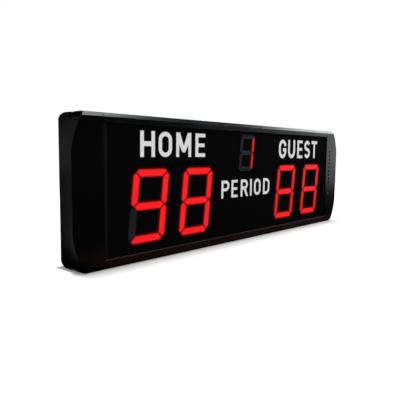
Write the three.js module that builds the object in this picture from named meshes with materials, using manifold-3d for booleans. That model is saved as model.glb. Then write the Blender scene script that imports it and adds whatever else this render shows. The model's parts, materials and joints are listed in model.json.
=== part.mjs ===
// Electronic scoreboard with two home digits, two guest digits and one period digit.
// All lengths are in millimetres. Seen from the front, x runs right, y runs to the back and z up.
// The origin lies under the middle of the board, on the surface that it stands on.
import * as THREE from "three";
import { mergeVertices } from "three/addons/utils/BufferGeometryUtils.js";
import Module from "manifold-3d";

const wasm = await Module();
wasm.setup();

// Whole board
const boardHeight = 150;
const boardDepth = 43;
const railLength = 449;
const fitGap = 0.3;
const cutOverrun = 2;
const weldDistance = 0.0001;
const roundSides = 24;
const smallRoundSides = 12;
const arcSteps = 6;

// Rails: one extrusion, used above and below
const railWall = 1.8;
const bevelDrop = 3.9;
const bevelBack = 2.8;
const rearRadius = 6;
const lipHeight = 9.7;
const lipThickness = 1.7;
const ribThickness = 1.5;
const rearLipHeight = 8;
const boardRibHeight = 3;

// Groove for the hanger nuts
const slotSetback = 20;
const slotMouth = 5.5;
const slotLip = 2.2;
const slotHeadWidth = 10;
const slotHeadHeight = 3.6;
const slotWall = 1.6;

// Panels
const frontPanelThickness = 3;
const frontPanelBite = 4.2;
const backPanelThickness = 1.5;
const backPanelBite = 3;
const panelEndBite = 3;

// Sunk tray in the back panel, for the switch and the power inlet
const pocketWidth = 66;
const pocketHeight = 32;
const pocketDepth = 7;
const pocketRadius = 2;
const pocketFromRailEnd = 51.5;
const pocketAboveBase = 24;
const trayWall = 1.5;
const trayFlange = 7;

// End caps
const capReach = 21.2;
const capBulge = 14.3;
const bowHeight = 40.5;
const bowSteps = 9;
const capSideWall = 2.2;
const tongueLength = 12;
const tongueRoot = 7;
const tongueHeight = 4.6;
const tongueLead = 1.2;

// Sound holes and remote-control window of the right end cap
const grilleFromRail = 10.5;
const grilleMiddleShare = 0.605;
const grillePitch = 6.3;
const grilleHoles = 9;
const grilleHoleDiameter = 3.6;
const windowHeightShare = 0.312;
const windowDiameter = 3.4;
const windowFlange = 1.1;
const windowFlangeThickness = 0.8;

// Digits
const digitHeight = 76.2;
const digitWidth = 50.3;
const barHeight = 8;
const barWidth = 8.9;
const barGap = 1.2;
const barCorner = 6.4;
const barNotch = 3;
const barRelief = 0.5;
const slantShare = 0.114;
const periodShare = 0.6;
const scoreOffset = 4.5;
const periodOffset = 5.1;

// Digit modules and the strips of panel round them
const moduleSideMargin = 3.5;
const moduleTopMargin = 4.9;
const scoreFromRailEnd = 21.5;
const scoreAboveBase = 14.8;
const scoreSpacing = 7;
const periodBelowTop = 10.8;
const moduleSetback = 0.6;
const moduleWall = 1.5;
const faceThickness = 1.5;
const webThickness = 1.2;
const ledBoardThickness = 1.6;
const cellWallShare = 0.97;
const cellRearShare = 0.45;
const ledLength = 2.8;
const ledWidth = 1.6;
const ledHeight = 1.1;
const ledSpreadShare = 0.055;
const pinSize = 0.7;
const pinPitch = 5.08;
const pinsInRow = 5;
const pinRowInset = 8;
const pinProtrusion = 1.8;

// Display board
const displayBoardThickness = 1.6;
const displayBoardEndGap = 2.5;
const driverLength = 12;
const driverWidth = 6;
const driverHeight = 1.8;
const driverAboveBase = 48;
const transistorSize = 3;
const transistorPitch = 7;
const transistorsInRow = 7;
const transistorAboveBase = 34;

// Control board and its standoffs
const controlBoardWidth = 110;
const controlBoardHeight = 70;
const controlBoardThickness = 1.6;
const controlBoardFromPocket = 22;
const controlBoardRise = 9;
const standoffInset = 5;
const standoffFlats = 5.5;
const standoffLength = 6;
const screwHole = 3.2;
const processorSize = 14;
const processorHeight = 2;
const chipLength = 19;
const chipWidth = 6.5;
const chipHeight = 3.6;
const chipPitch = 25.5;
const chipInset = 12;
const chipsInRow = 3;
const capacitorDiameter = 8;
const capacitorHeight = 10;
const capacitorPitch = 11;
const capacitorInset = 11;
const capacitorFromPlug = 16;
const capacitorsInRow = 3;
const regulatorWidth = 10;
const regulatorThickness = 4.5;
const regulatorHeight = 9;
const crystalLength = 11;
const crystalWidth = 4.6;
const crystalHeight = 3.5;
const plugLength = 10;
const plugWidth = 6;
const plugHeight = 6;
const plugPitch = 14;

// Ribbon cable between the boards
const ribbonWidth = 16;
const ribbonThickness = 0.9;
const ribbonSpan = 30;
const ribbonFromBoardMiddle = 60;
const ribbonSocketLength = 20;
const ribbonSocketWidth = 8;
const ribbonSocketHeight = 5;
const ribbonSteps = 10;

// Buzzer
const buzzerDiameter = 17;
const buzzerHeight = 7;
const buzzerPort = 3;
const buzzerPortDepth = 1;
const buzzerFromRail = 14.6;
const buzzerRingWall = 1.2;
const buzzerRingHeight = 5;

// Receiver board for the remote control
const receiverWidth = 10;
const receiverHeight = 18;
const receiverThickness = 1.2;
const receiverOffset = 1.1;
const receiverPegSpacing = 12;
const receiverPegDiameter = 3;
const receiverPegLength = 6;
const receiverSpigot = 1.6;
const sensorWidth = 5.5;
const sensorHeight = 5;

// Power inlet
const jackFromPocket = 17;
const jackBarrel = 8;
const jackFlange = 11;
const jackFlangeThickness = 2;
const jackBore = 6.2;
const jackPin = 2;
const jackPinRecess = 0.8;
const jackBoreDepth = 9;
const jackLength = 13;
const jackNutFlats = 11;
const jackNutThickness = 2;

// Power switch
const switchFromPocket = -17;
const switchBezelWidth = 15;
const switchBezelHeight = 21;
const switchBezelThickness = 1.6;
const switchBodyWidth = 12.4;
const switchBodyHeight = 18.8;
const switchBodyDepth = 8;
const switchTagWidth = 2.8;
const switchTagThickness = 0.8;
const switchTagLength = 2.2;
const switchTagSpacing = 7;
const rockerWidth = 9;
const rockerRadius = 7.9;
const rockerTipRise = 3.2;
const rockerMiddleRise = 2.2;
const rockerInside = 2.8;
const rockerTilt = THREE.MathUtils.degToRad(9);
const rockerPin = 2.4;
const rockerPinLength = 1;
const rockerArcSteps = 5;

// Leads
const leadDiameter = 1.6;
const leadSides = 8;
const leadSteps = 18;
const leadBow = 5;

// Hanger nuts
const nutFromRailEnd = 74.5;
const nutLength = 18;
const nutHole = 4;
const nutTopInset = 0.4;

// Finishes, seen in the photo or usual for such pieces
const anodisedBlack = { color: 0x1b1c1e, roughness: 0.35, metalness: 0.6 };
const mouldedBlack = { color: 0x18191a, roughness: 0.55, metalness: 0 };
const panelBlack = { color: 0x08080a, roughness: 0.25, metalness: 0 };
const paintedSheet = { color: 0x202123, roughness: 0.5, metalness: 0.3 };
const moduleBlack = { color: 0x0b0b0c, roughness: 0.6, metalness: 0 };
const barRed = { color: 0xff1e23, roughness: 0.4, metalness: 0 };
const reflectorWhite = { color: 0xe8e8e4, roughness: 0.45, metalness: 0 };
const boardGreen = { color: 0x1d5a34, roughness: 0.45, metalness: 0 };
const brass = { color: 0xb89a52, roughness: 0.35, metalness: 1 };
const nickel = { color: 0xb7b9bc, roughness: 0.3, metalness: 1 };
const zincSteel = { color: 0xa4a8ac, roughness: 0.4, metalness: 1 };
const ribbonGrey = { color: 0x9a9ca0, roughness: 0.6, metalness: 0 };
const leadRed = { color: 0xa02020, roughness: 0.5, metalness: 0 };
const leadBlack = { color: 0x151515, roughness: 0.5, metalness: 0 };
const smokedRed = { color: 0x3a1012, roughness: 0.1, metalness: 0 };

// Planes along y, from the front to the back
const frontFace = -boardDepth / 2;
const rearFace = boardDepth / 2;
const lipRear = frontFace + lipThickness;
const panelFront = lipRear + fitGap;
const panelRear = panelFront + frontPanelThickness;
const frontRib = panelRear + fitGap;
const frontRibRear = frontRib + ribThickness;
const moduleFront = panelFront + moduleSetback;
const slotMiddle = frontFace + slotSetback;
const slotHeadFront = slotMiddle - slotHeadWidth / 2;
const slotHeadRear = slotMiddle + slotHeadWidth / 2;
const slotFrontWall = slotHeadFront - slotWall;
const slotRearWall = slotHeadRear + slotWall;
const displayFront = slotFrontWall + ribThickness + fitGap;
const displayRear = displayFront + displayBoardThickness;
const rearWallInside = rearFace - railWall;
const backPanelRear = rearWallInside - fitGap;
const backPanelFront = backPanelRear - backPanelThickness;
const backRibRear = backPanelFront - fitGap;
const backRib = backRibRear - ribThickness;
const flangeRear = backPanelFront - fitGap;
const flangeFront = flangeRear - trayWall;
const pocketFloorRear = backPanelRear - pocketDepth;
const pocketFloorFront = pocketFloorRear - trayWall;

// Planes along x and z
const slotDepth = slotLip + slotHeadHeight;
const slotFloor = slotDepth + slotWall;
const railEnd = railLength / 2 - fitGap / 2;
const capInner = railLength / 2 + fitGap / 2;
const capCorner = railLength / 2 + capReach;
const panelEnd = railLength / 2 + panelEndBite;
const frontPanelEdge = lipHeight - frontPanelBite;
const backPanelEdge = rearLipHeight - backPanelBite;

// Places of the pocket and the control board beside it
const pocketX = railLength / 2 - pocketFromRailEnd - pocketWidth / 2;
const pocketZ = pocketAboveBase + pocketHeight / 2;
const controlX = pocketX - pocketWidth / 2 - controlBoardFromPocket - controlBoardWidth / 2;
const controlZ = boardHeight / 2 + controlBoardRise;

// A solid from a closed three.js geometry
function solidFrom(geometry) {
  const bare = geometry.clone();
  bare.deleteAttribute("normal");
  bare.deleteAttribute("uv");
  const welded = mergeVertices(bare, weldDistance);
  return new wasm.Manifold(
    new wasm.Mesh({
      numProp: 3,
      vertProperties: new Float32Array(welded.attributes.position.array),
      triVerts: new Uint32Array(welded.index.array),
    }),
  );
}

// A named mesh with its own material
function piece(name, solid, finish) {
  const made = solid.getMesh();
  const geometry = new THREE.BufferGeometry();
  geometry.setAttribute("position", new THREE.BufferAttribute(made.vertProperties, 3));
  geometry.setIndex(new THREE.BufferAttribute(made.triVerts, 1));
  const material = new THREE.MeshStandardMaterial({ ...finish, flatShading: true });
  const mesh = new THREE.Mesh(geometry, material);
  mesh.name = name;
  return mesh;
}

// Outlines are lists of pairs: y and z for a prism along x, x and z along y, x and y along z.
const extrusionFrames = {
  x: new THREE.Matrix4().makeBasis(
    new THREE.Vector3(0, 1, 0),
    new THREE.Vector3(0, 0, 1),
    new THREE.Vector3(1, 0, 0),
  ),
  y: new THREE.Matrix4().makeBasis(
    new THREE.Vector3(0, 0, 1),
    new THREE.Vector3(1, 0, 0),
    new THREE.Vector3(0, 1, 0),
  ),
  z: new THREE.Matrix4(),
};

function prism(axis, outline, from, to) {
  const swapped = axis === "y";
  const flat = outline.map(([a, b]) => new THREE.Vector2(swapped ? b : a, swapped ? a : b));
  const geometry = new THREE.ExtrudeGeometry(new THREE.Shape(flat), {
    depth: to - from,
    bevelEnabled: false,
    steps: 1,
  });
  geometry.translate(0, 0, from);
  geometry.applyMatrix4(extrusionFrames[axis]);
  return solidFrom(geometry);
}

function rectangle(width, height, middleA = 0, middleB = 0) {
  const a = width / 2;
  const b = height / 2;
  return [
    [middleA - a, middleB - b],
    [middleA + a, middleB - b],
    [middleA + a, middleB + b],
    [middleA - a, middleB + b],
  ];
}

function arc(middleA, middleB, radius, fromAngle, toAngle, steps) {
  const points = [];
  for (let i = 0; i <= steps; i += 1) {
    const angle = fromAngle + ((toAngle - fromAngle) * i) / steps;
    points.push([middleA + radius * Math.cos(angle), middleB + radius * Math.sin(angle)]);
  }
  return points;
}

function circle(diameter, sides, middleA = 0, middleB = 0) {
  return arc(middleA, middleB, diameter / 2, 0, 2 * Math.PI * (1 - 1 / sides), sides - 1);
}

function hexagon(flats, middleA = 0, middleB = 0) {
  return circle(flats / Math.cos(Math.PI / 6), 6, middleA, middleB);
}

function roundedRectangle(width, height, radius, middleA, middleB) {
  const a = width / 2 - radius;
  const b = height / 2 - radius;
  const quarter = Math.PI / 2;
  return [
    ...arc(middleA + a, middleB + b, radius, 0, quarter, arcSteps),
    ...arc(middleA - a, middleB + b, radius, quarter, 2 * quarter, arcSteps),
    ...arc(middleA - a, middleB - b, radius, 2 * quarter, 3 * quarter, arcSteps),
    ...arc(middleA + a, middleB - b, radius, 3 * quarter, 4 * quarter, arcSteps),
  ];
}

// A solid between two outlines of x and z with as many points each, the first nearer the front
function loft(frontOutline, front, rearOutline, rear) {
  const count = frontOutline.length;
  const corners = [
    ...frontOutline.map(([x, z]) => [x, front, z]),
    ...rearOutline.map(([x, z]) => [x, rear, z]),
  ];
  const faces = [];
  for (let i = 0; i < count; i += 1) {
    const next = (i + 1) % count;
    faces.push([i, count + i, next], [next, count + i, count + next]);
  }
  const flat = frontOutline.map(([x, z]) => new THREE.Vector2(x, z));
  for (const [a, b, c] of THREE.ShapeUtils.triangulateShape(flat, [])) {
    const leftTurn = THREE.ShapeUtils.area([flat[a], flat[b], flat[c]]) > 0;
    faces.push(leftTurn ? [a, b, c] : [a, c, b]);
    faces.push(leftTurn ? [count + a, count + c, count + b] : [count + a, count + b, count + c]);
  }
  const geometry = new THREE.BufferGeometry();
  geometry.setAttribute("position", new THREE.Float32BufferAttribute(corners.flat(), 3));
  geometry.setIndex(faces.flat());
  return solidFrom(geometry);
}

// A turned solid with its axis along y; the profile holds pairs of radius and y
function turned(profile, sides) {
  return solidFrom(
    new THREE.LatheGeometry(
      profile.map(([radius, y]) => new THREE.Vector2(radius, y)),
      sides,
    ),
  );
}

// The part of a convex outline on the inner side of a line, whose direction out of the outline is given
function clip(outline, [lineA, lineB], [outA, outB]) {
  const height = ([a, b]) => (a - lineA) * outA + (b - lineB) * outB;
  const kept = [];
  outline.forEach((point, i) => {
    const next = outline[(i + 1) % outline.length];
    const here = height(point);
    const there = height(next);
    if (here <= 0) kept.push(point);
    if (here < 0 !== there < 0 && here !== 0 && there !== 0) {
      const share = here / (here - there);
      kept.push([point[0] + (next[0] - point[0]) * share, point[1] + (next[1] - point[1]) * share]);
    }
  });
  return kept;
}

// A convex outline, counter-clockwise, with every edge moved out by a distance
function grow(outline, distance) {
  const edges = outline.map(([a, b], i) => {
    const [nextA, nextB] = outline[(i + 1) % outline.length];
    const length = Math.hypot(nextA - a, nextB - b);
    const outA = (nextB - b) / length;
    const outB = (a - nextA) / length;
    return { outA, outB, reach: a * outA + b * outB + distance };
  });
  return edges.map((edge, i) => {
    const last = edges[(i + edges.length - 1) % edges.length];
    const cross = last.outA * edge.outB - edge.outA * last.outB;
    return [
      (last.reach * edge.outB - edge.reach * last.outB) / cross,
      (last.outA * edge.reach - edge.outA * last.reach) / cross,
    ];
  });
}

function middleOf(outline) {
  return [0, 1].map((k) => {
    const values = outline.map((point) => point[k]);
    return (Math.min(...values) + Math.max(...values)) / 2;
  });
}

function shrink(outline, share) {
  const middle = middleOf(outline);
  return outline.map((point) => point.map((value, k) => middle[k] + (value - middle[k]) * share));
}

// Rail profile in y and in the distance from its outer face
function railOutline() {
  const arcMiddle = rearFace - rearRadius;
  const innerRadius = rearRadius - railWall;
  const ribAngle = Math.acos((backRibRear - arcMiddle) / innerRadius);
  const boardRibs = slotFloor + boardRibHeight;
  return [
    [frontFace, lipHeight],
    [frontFace, bevelDrop],
    [frontFace + bevelBack, 0],
    [slotMiddle - slotMouth / 2, 0],
    [slotMiddle - slotMouth / 2, slotLip],
    [slotHeadFront, slotLip],
    [slotHeadFront, slotDepth],
    [slotHeadRear, slotDepth],
    [slotHeadRear, slotLip],
    [slotMiddle + slotMouth / 2, slotLip],
    [slotMiddle + slotMouth / 2, 0],
    ...arc(arcMiddle, rearRadius, rearRadius, -Math.PI / 2, 0, arcSteps),
    [rearFace, rearLipHeight],
    [rearWallInside, rearLipHeight],
    ...arc(arcMiddle, rearRadius, innerRadius, 0, -ribAngle, arcSteps),
    [backRibRear, rearLipHeight],
    [backRib, rearLipHeight],
    [backRib, railWall],
    [slotRearWall, railWall],
    [slotRearWall, slotFloor],
    [displayRear + fitGap + ribThickness, slotFloor],
    [displayRear + fitGap + ribThickness, boardRibs],
    [displayRear + fitGap, boardRibs],
    [displayRear + fitGap, slotFloor],
    [displayFront - fitGap, slotFloor],
    [displayFront - fitGap, boardRibs],
    [slotFrontWall, boardRibs],
    [slotFrontWall, railWall],
    [frontRibRear, railWall],
    [frontRibRear, lipHeight],
    [frontRib, lipHeight],
    [frontRib, frontPanelEdge - fitGap],
    [lipRear, frontPanelEdge - fitGap],
    [lipRear, lipHeight],
  ];
}

function makeRails() {
  const rail = prism("x", railOutline(), -railEnd, railEnd);
  const bottom = piece("bottom_rail", rail, anodisedBlack);
  const top = piece("top_rail", rail, anodisedBlack);
  top.position.z = boardHeight;
  top.scale.z = -1;
  return [top, bottom];
}

// The lower half of an outline of y and z, closed by the same half above
function mirroredUp(lowerHalf) {
  const upperHalf = lowerHalf.map(([y, z]) => [y, boardHeight - z]).reverse();
  return [...lowerHalf, ...upperHalf];
}

function capOuterOutline() {
  return mirroredUp([
    [frontFace, bevelDrop],
    [frontFace + bevelBack, 0],
    ...arc(rearFace - rearRadius, rearRadius, rearRadius, -Math.PI / 2, 0, arcSteps),
  ]);
}

// The hollow of a cap leaves its wall along the bevel and round the groove
function capHollowOutline() {
  const bevelLength = Math.hypot(bevelDrop, bevelBack);
  const bevelReach = bevelDrop * bevelBack + railWall * bevelLength;
  const channelFront = slotMiddle - slotMouth / 2 - slotWall;
  const channelRear = slotMiddle + slotMouth / 2 + slotWall;
  return mirroredUp([
    [lipRear, (bevelReach - lipThickness * bevelDrop) / bevelBack],
    [frontFace + (bevelReach - railWall * bevelBack) / bevelDrop, railWall],
    [channelFront, railWall],
    [channelFront, slotFloor],
    [channelRear, slotFloor],
    [channelRear, railWall],
    ...arc(rearFace - rearRadius, rearRadius, rearRadius - railWall, -Math.PI / 2, 0, arcSteps),
  ]);
}

// The side of a cap at one depth: bowed at the front, straight at the back
function capSideOutline(corner, y) {
  const bulge = (capBulge * (rearFace - y)) / boardDepth;
  const lowerBow = [];
  for (let i = 0; i <= bowSteps; i += 1) {
    const share = i / bowSteps;
    lowerBow.push([corner + bulge * share * (2 - share), bowHeight * share]);
  }
  const upperBow = lowerBow.map(([x, z]) => [x, boardHeight - z]).reverse();
  return [
    [capInner - cutOverrun, -cutOverrun],
    [corner, -cutOverrun],
    ...lowerBow,
    ...upperBow,
    [corner, boardHeight + cutOverrun],
    [capInner - cutOverrun, boardHeight + cutOverrun],
  ];
}

function capSideBody(corner) {
  const front = frontFace - cutOverrun;
  const rear = rearFace + cutOverrun;
  return loft(capSideOutline(corner, front), front, capSideOutline(corner, rear), rear);
}

// Four tongues plug into the hollows of the rails
function addTongues(cap) {
  const lower = [
    [capInner - tongueLength, railWall + fitGap + tongueLead],
    [capInner - tongueLength + tongueLead, railWall + fitGap],
    [capInner + fitGap, railWall + fitGap],
    [capInner + fitGap, railWall / 2],
    [capInner + tongueRoot, railWall / 2],
    [capInner + tongueRoot, railWall + fitGap + tongueHeight],
    [capInner - tongueLength + tongueLead, railWall + fitGap + tongueHeight],
    [capInner - tongueLength, railWall + fitGap + tongueHeight - tongueLead],
  ];
  const upper = lower.map(([x, z]) => [x, boardHeight - z]);
  const spans = [
    [frontRibRear + fitGap, slotFrontWall - fitGap],
    [slotRearWall + fitGap, backRib - fitGap],
  ];
  let made = cap;
  for (const [from, to] of spans) {
    made = made.add(prism("y", lower, from, to)).add(prism("y", upper, from, to));
  }
  return made;
}

function cutGrooveEnds(cap) {
  const lower = rectangle(slotMouth, 2 * slotDepth, slotMiddle, 0);
  const upper = rectangle(slotMouth, 2 * slotDepth, slotMiddle, boardHeight);
  const from = capInner - cutOverrun;
  const to = capCorner + capBulge;
  return cap.subtract(prism("x", lower, from, to)).subtract(prism("x", upper, from, to));
}

function plainCap() {
  const far = capCorner + capBulge + cutOverrun;
  const outside = prism("x", capOuterOutline(), capInner, far).intersect(capSideBody(capCorner));
  const hollow = prism("x", capHollowOutline(), capInner - cutOverrun, far).intersect(
    capSideBody(capCorner - capSideWall),
  );
  return addTongues(cutGrooveEnds(outside.subtract(hollow)));
}

// Sound holes, buzzer ring, window hole and receiver pegs of the right cap
const grilleX = railLength / 2 + grilleFromRail;
const buzzerX = railLength / 2 + buzzerFromRail;
const buzzerZ = boardHeight * grilleMiddleShare;
const grilleTop = buzzerZ + (grillePitch * (grilleHoles - 1)) / 2;
const windowZ = boardHeight * windowHeightShare;
const buzzerRingInside = buzzerDiameter + 2 * fitGap;
const receiverFront = lipRear + receiverPegLength + fitGap;
const receiverRear = receiverFront + receiverThickness;
const receiverX = grilleX + receiverOffset;

function equippedCap(cap) {
  const wallMiddle = frontFace + lipThickness / 2;
  const ringOutside = circle(buzzerRingInside + 2 * buzzerRingWall, roundSides, buzzerX, buzzerZ);
  const ringInside = circle(buzzerRingInside, roundSides, buzzerX, buzzerZ);
  const ringEnd = lipRear + buzzerRingHeight;
  const ring = prism("y", ringOutside, wallMiddle, ringEnd).subtract(
    prism("y", ringInside, lipRear, ringEnd + cutOverrun),
  );
  let made = cap.add(ring);
  for (const side of [-1, 1]) {
    const z = windowZ + (side * receiverPegSpacing) / 2;
    const peg = circle(receiverPegDiameter, smallRoundSides, receiverX, z);
    const spigot = circle(receiverSpigot, smallRoundSides, receiverX, z);
    made = made.add(prism("y", peg, wallMiddle, lipRear + receiverPegLength));
    made = made.add(prism("y", spigot, wallMiddle, receiverRear + receiverThickness));
  }
  for (let i = 0; i < grilleHoles; i += 1) {
    const hole = circle(grilleHoleDiameter, smallRoundSides, grilleX, grilleTop - i * grillePitch);
    made = made.subtract(prism("y", hole, frontFace - cutOverrun, lipRear + fitGap));
  }
  const windowHole = circle(windowDiameter + 2 * fitGap, smallRoundSides, grilleX, windowZ);
  return made.subtract(prism("y", windowHole, frontFace - cutOverrun, lipRear + fitGap));
}

function makeCaps() {
  const left = piece("left_end_cap", plainCap(), mouldedBlack);
  left.scale.x = -1;
  const right = piece("right_end_cap", equippedCap(plainCap()), mouldedBlack);
  return [left, right];
}

function makeBuzzer() {
  const front = lipRear + fitGap;
  const profile = [
    [0, buzzerPortDepth],
    [buzzerPort / 2, buzzerPortDepth],
    [buzzerPort / 2, 0],
    [buzzerDiameter / 2, 0],
    [buzzerDiameter / 2, buzzerHeight],
    [0, buzzerHeight],
  ];
  const buzzer = piece("buzzer", turned(profile, roundSides), mouldedBlack);
  buzzer.position.set(buzzerX, front, buzzerZ);
  return buzzer;
}

// The lens fills its hole and keeps its flange behind the wall
function makeReceiver() {
  const footFront = lipRear + fitGap;
  const footRear = footFront + windowFlangeThickness;
  const footOutline = circle(windowDiameter + 2 * windowFlange, smallRoundSides);
  const lens = prism("y", circle(windowDiameter, smallRoundSides), frontFace, footRear);
  const foot = prism("y", footOutline, footFront, footRear);
  const lensPiece = piece("receiver_window", lens.add(foot), smokedRed);
  lensPiece.position.set(grilleX, 0, windowZ);

  const card = prism("y", rectangle(receiverWidth, receiverHeight), receiverFront, receiverRear);
  const sensor = prism(
    "y",
    rectangle(sensorWidth, sensorHeight, grilleX - receiverX, 0),
    footRear + fitGap,
    receiverFront + receiverThickness / 2,
  );
  let body = card.add(sensor);
  for (const side of [-1, 1]) {
    const hole = circle(receiverSpigot + 2 * fitGap, smallRoundSides, 0, (side * receiverPegSpacing) / 2);
    body = body.subtract(prism("y", hole, receiverFront - cutOverrun, receiverRear + cutOverrun));
  }
  const board = piece("receiver_board", body, boardGreen);
  board.position.set(receiverX, 0, windowZ);
  return [lensPiece, board];
}

// Outlines of the seven bars of a digit: top, upper right, lower right, bottom, lower left,
// upper left and middle
function barOutlines(scale) {
  const right = (digitWidth * scale) / 2;
  const top = (digitHeight * scale) / 2;
  const wide = barWidth * scale;
  const high = barHeight * scale;
  const corner = barCorner * scale;
  const halfGap = barGap / 2;
  const diagonal = Math.SQRT1_2;
  const mitre = Math.hypot(wide, high);
  const acrossMitre = [high / mitre, -wide / mitre];
  const mitreX = halfGap * acrossMitre[0];
  const mitreZ = halfGap * acrossMitre[1];
  const mitreStart = [right - wide, top - high];
  const cornerPoint = [right - corner / 2, top - corner / 2];

  let topBar = rectangle(2 * right, high, 0, top - high / 2);
  for (const side of [1, -1]) {
    const out = [side * acrossMitre[0], acrossMitre[1]];
    const start = [side * (mitreStart[0] - mitreX), mitreStart[1] - mitreZ];
    topBar = clip(topBar, start, out);
    topBar = clip(topBar, [side * cornerPoint[0], cornerPoint[1]], [side * diagonal, diagonal]);
  }

  let sideBar = rectangle(wide, top - halfGap, right - wide / 2, (top + halfGap) / 2);
  const sideStart = [mitreStart[0] + mitreX, mitreStart[1] + mitreZ];
  sideBar = clip(sideBar, sideStart, [-acrossMitre[0], -acrossMitre[1]]);
  sideBar = clip(sideBar, cornerPoint, [diagonal, diagonal]);
  const tipSetback = halfGap * diagonal;
  sideBar = clip(sideBar, [right - wide / 2 + tipSetback, tipSetback], [-diagonal, -diagonal]);
  sideBar = clip(sideBar, [right, halfGap + barNotch * scale], [diagonal, -diagonal]);

  let middleBar = rectangle(2 * right - wide, high);
  for (const side of [1, -1]) {
    const tip = [side * (right - wide / 2 - tipSetback), 0];
    middleBar = clip(middleBar, tip, [side * diagonal, diagonal]);
    middleBar = clip(middleBar, tip, [side * diagonal, -diagonal]);
  }

  const flipped = (outline, signX, signZ) => {
    const points = outline.map(([x, z]) => [signX * x, signZ * z]);
    return signX * signZ < 0 ? points.reverse() : points;
  };
  const upright = [
    topBar,
    sideBar,
    flipped(sideBar, 1, -1),
    flipped(topBar, 1, -1),
    flipped(sideBar, -1, -1),
    flipped(sideBar, -1, 1),
    middleBar,
  ];
  return upright.map((outline) => outline.map(([x, z]) => [x + z * slantShare, z]));
}

// A module leaves a margin round its slanted digit
const moduleWidth = digitWidth + digitHeight * slantShare + 2 * moduleSideMargin;
const moduleHeight = digitHeight + 2 * moduleTopMargin;

// Planes of a digit module along y
const faceRear = moduleFront + faceThickness;
const webFront = faceRear + fitGap;
const webRear = webFront + webThickness;
const moduleRear = displayFront - fitGap;
const ledBoardFront = moduleRear - ledBoardThickness;
const reflectorFront = webRear + fitGap;
const reflectorRear = ledBoardFront - fitGap;

function pinPlaces(scale) {
  const places = [];
  const rowZ = (moduleHeight / 2 - pinRowInset) * scale;
  for (let i = 0; i < pinsInRow; i += 1) {
    const x = (i - (pinsInRow - 1) / 2) * pinPitch * scale;
    places.push([x, rowZ], [x, -rowZ]);
  }
  return places;
}

// The four solids of a module, drawn round the middle of its digit
function moduleSolids(scale) {
  const bars = barOutlines(scale);
  const width = moduleWidth * scale;
  const height = moduleHeight * scale;
  const insideWidth = width - 2 * moduleWall;
  const insideHeight = height - 2 * moduleWall;
  const inner = rectangle(insideWidth - 2 * fitGap, insideHeight - 2 * fitGap);

  let housing = prism("y", rectangle(width, height), moduleFront, moduleRear);
  housing = housing.subtract(
    prism("y", rectangle(insideWidth, insideHeight), faceRear, moduleRear + cutOverrun),
  );
  let diffuser = prism("y", inner, webFront, webRear);
  let reflector = prism("y", inner, reflectorFront, reflectorRear);
  let ledBoard = prism("y", inner, ledBoardFront, moduleRear);
  for (const bar of bars) {
    housing = housing.subtract(prism("y", grow(bar, fitGap), moduleFront - cutOverrun, faceRear + fitGap));
    diffuser = diffuser.add(prism("y", bar, moduleFront - barRelief, webFront + webThickness / 2));
    reflector = reflector.subtract(
      loft(
        shrink(bar, cellWallShare),
        reflectorFront - fitGap,
        shrink(bar, cellRearShare),
        reflectorRear + fitGap,
      ),
    );
    ledBoard = addLeds(ledBoard, bar, scale);
  }
  const pinFront = ledBoardFront + ledBoardThickness / 2;
  const pinRear = displayRear + pinProtrusion;
  for (const [x, z] of pinPlaces(scale)) {
    ledBoard = ledBoard.add(prism("y", rectangle(pinSize, pinSize, x, z), pinFront, pinRear));
  }
  return { housing, diffuser, reflector, ledBoard };
}

// Two light-emitting diodes stand behind each bar, side by side along it
function addLeds(ledBoard, bar, scale) {
  const [x, z] = middleOf(bar);
  const spread = digitHeight * scale * ledSpreadShare;
  const upright = Math.max(...bar.map((point) => point[1])) - z > barHeight * scale;
  let made = ledBoard;
  for (const side of [-1, 1]) {
    const place = upright
      ? rectangle(ledWidth * scale, ledLength * scale, x + side * spread * slantShare, z + side * spread)
      : rectangle(ledLength * scale, ledWidth * scale, x + side * spread, z);
    made = made.add(prism("y", place, ledBoardFront - ledHeight, ledBoardFront + ledBoardThickness / 2));
  }
  return made;
}

// Name, scale and place of each digit
const outerDigit = railLength / 2 - scoreFromRailEnd - moduleWidth / 2;
const innerDigit = outerDigit - moduleWidth - scoreSpacing;
const scoreZ = scoreAboveBase + moduleHeight / 2;
const periodZ = boardHeight - periodBelowTop - (moduleHeight * periodShare) / 2;
const digits = [
  { name: "home_tens", scale: 1, x: scoreOffset - outerDigit, z: scoreZ },
  { name: "home_ones", scale: 1, x: scoreOffset - innerDigit, z: scoreZ },
  { name: "period", scale: periodShare, x: periodOffset, z: periodZ },
  { name: "guest_tens", scale: 1, x: scoreOffset + innerDigit, z: scoreZ },
  { name: "guest_ones", scale: 1, x: scoreOffset + outerDigit, z: scoreZ },
];

function makeDigits() {
  const solidsByScale = new Map();
  return digits.map(({ name, scale, x, z }) => {
    if (!solidsByScale.has(scale)) solidsByScale.set(scale, moduleSolids(scale));
    const solids = solidsByScale.get(scale);
    const module = new THREE.Group();
    module.add(
      piece(name + "_housing", solids.housing, moduleBlack),
      piece(name + "_diffuser", solids.diffuser, barRed),
      piece(name + "_reflector", solids.reflector, reflectorWhite),
      piece(name + "_led_board", solids.ledBoard, boardGreen),
    );
    module.position.set(x, 0, z);
    return module;
  });
}

function makeFrontPanel() {
  const panelHeight = boardHeight - 2 * frontPanelEdge;
  let panel = prism("y", rectangle(2 * panelEnd, panelHeight, 0, boardHeight / 2), panelFront, panelRear);
  for (const { scale, x, z } of digits) {
    const opening = rectangle(moduleWidth * scale + 2 * fitGap, moduleHeight * scale + 2 * fitGap, x, z);
    panel = panel.subtract(prism("y", opening, panelFront - cutOverrun, panelRear + cutOverrun));
  }
  return piece("front_panel", panel, panelBlack);
}

// A component on the front or rear side of a board, sunk a little into it
function mounted(outline, boardFace, outwards, tall, thickness) {
  const sunk = boardFace - (outwards * thickness) / 2;
  const end = boardFace + outwards * tall;
  return prism("y", outline, Math.min(sunk, end), Math.max(sunk, end));
}

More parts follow.
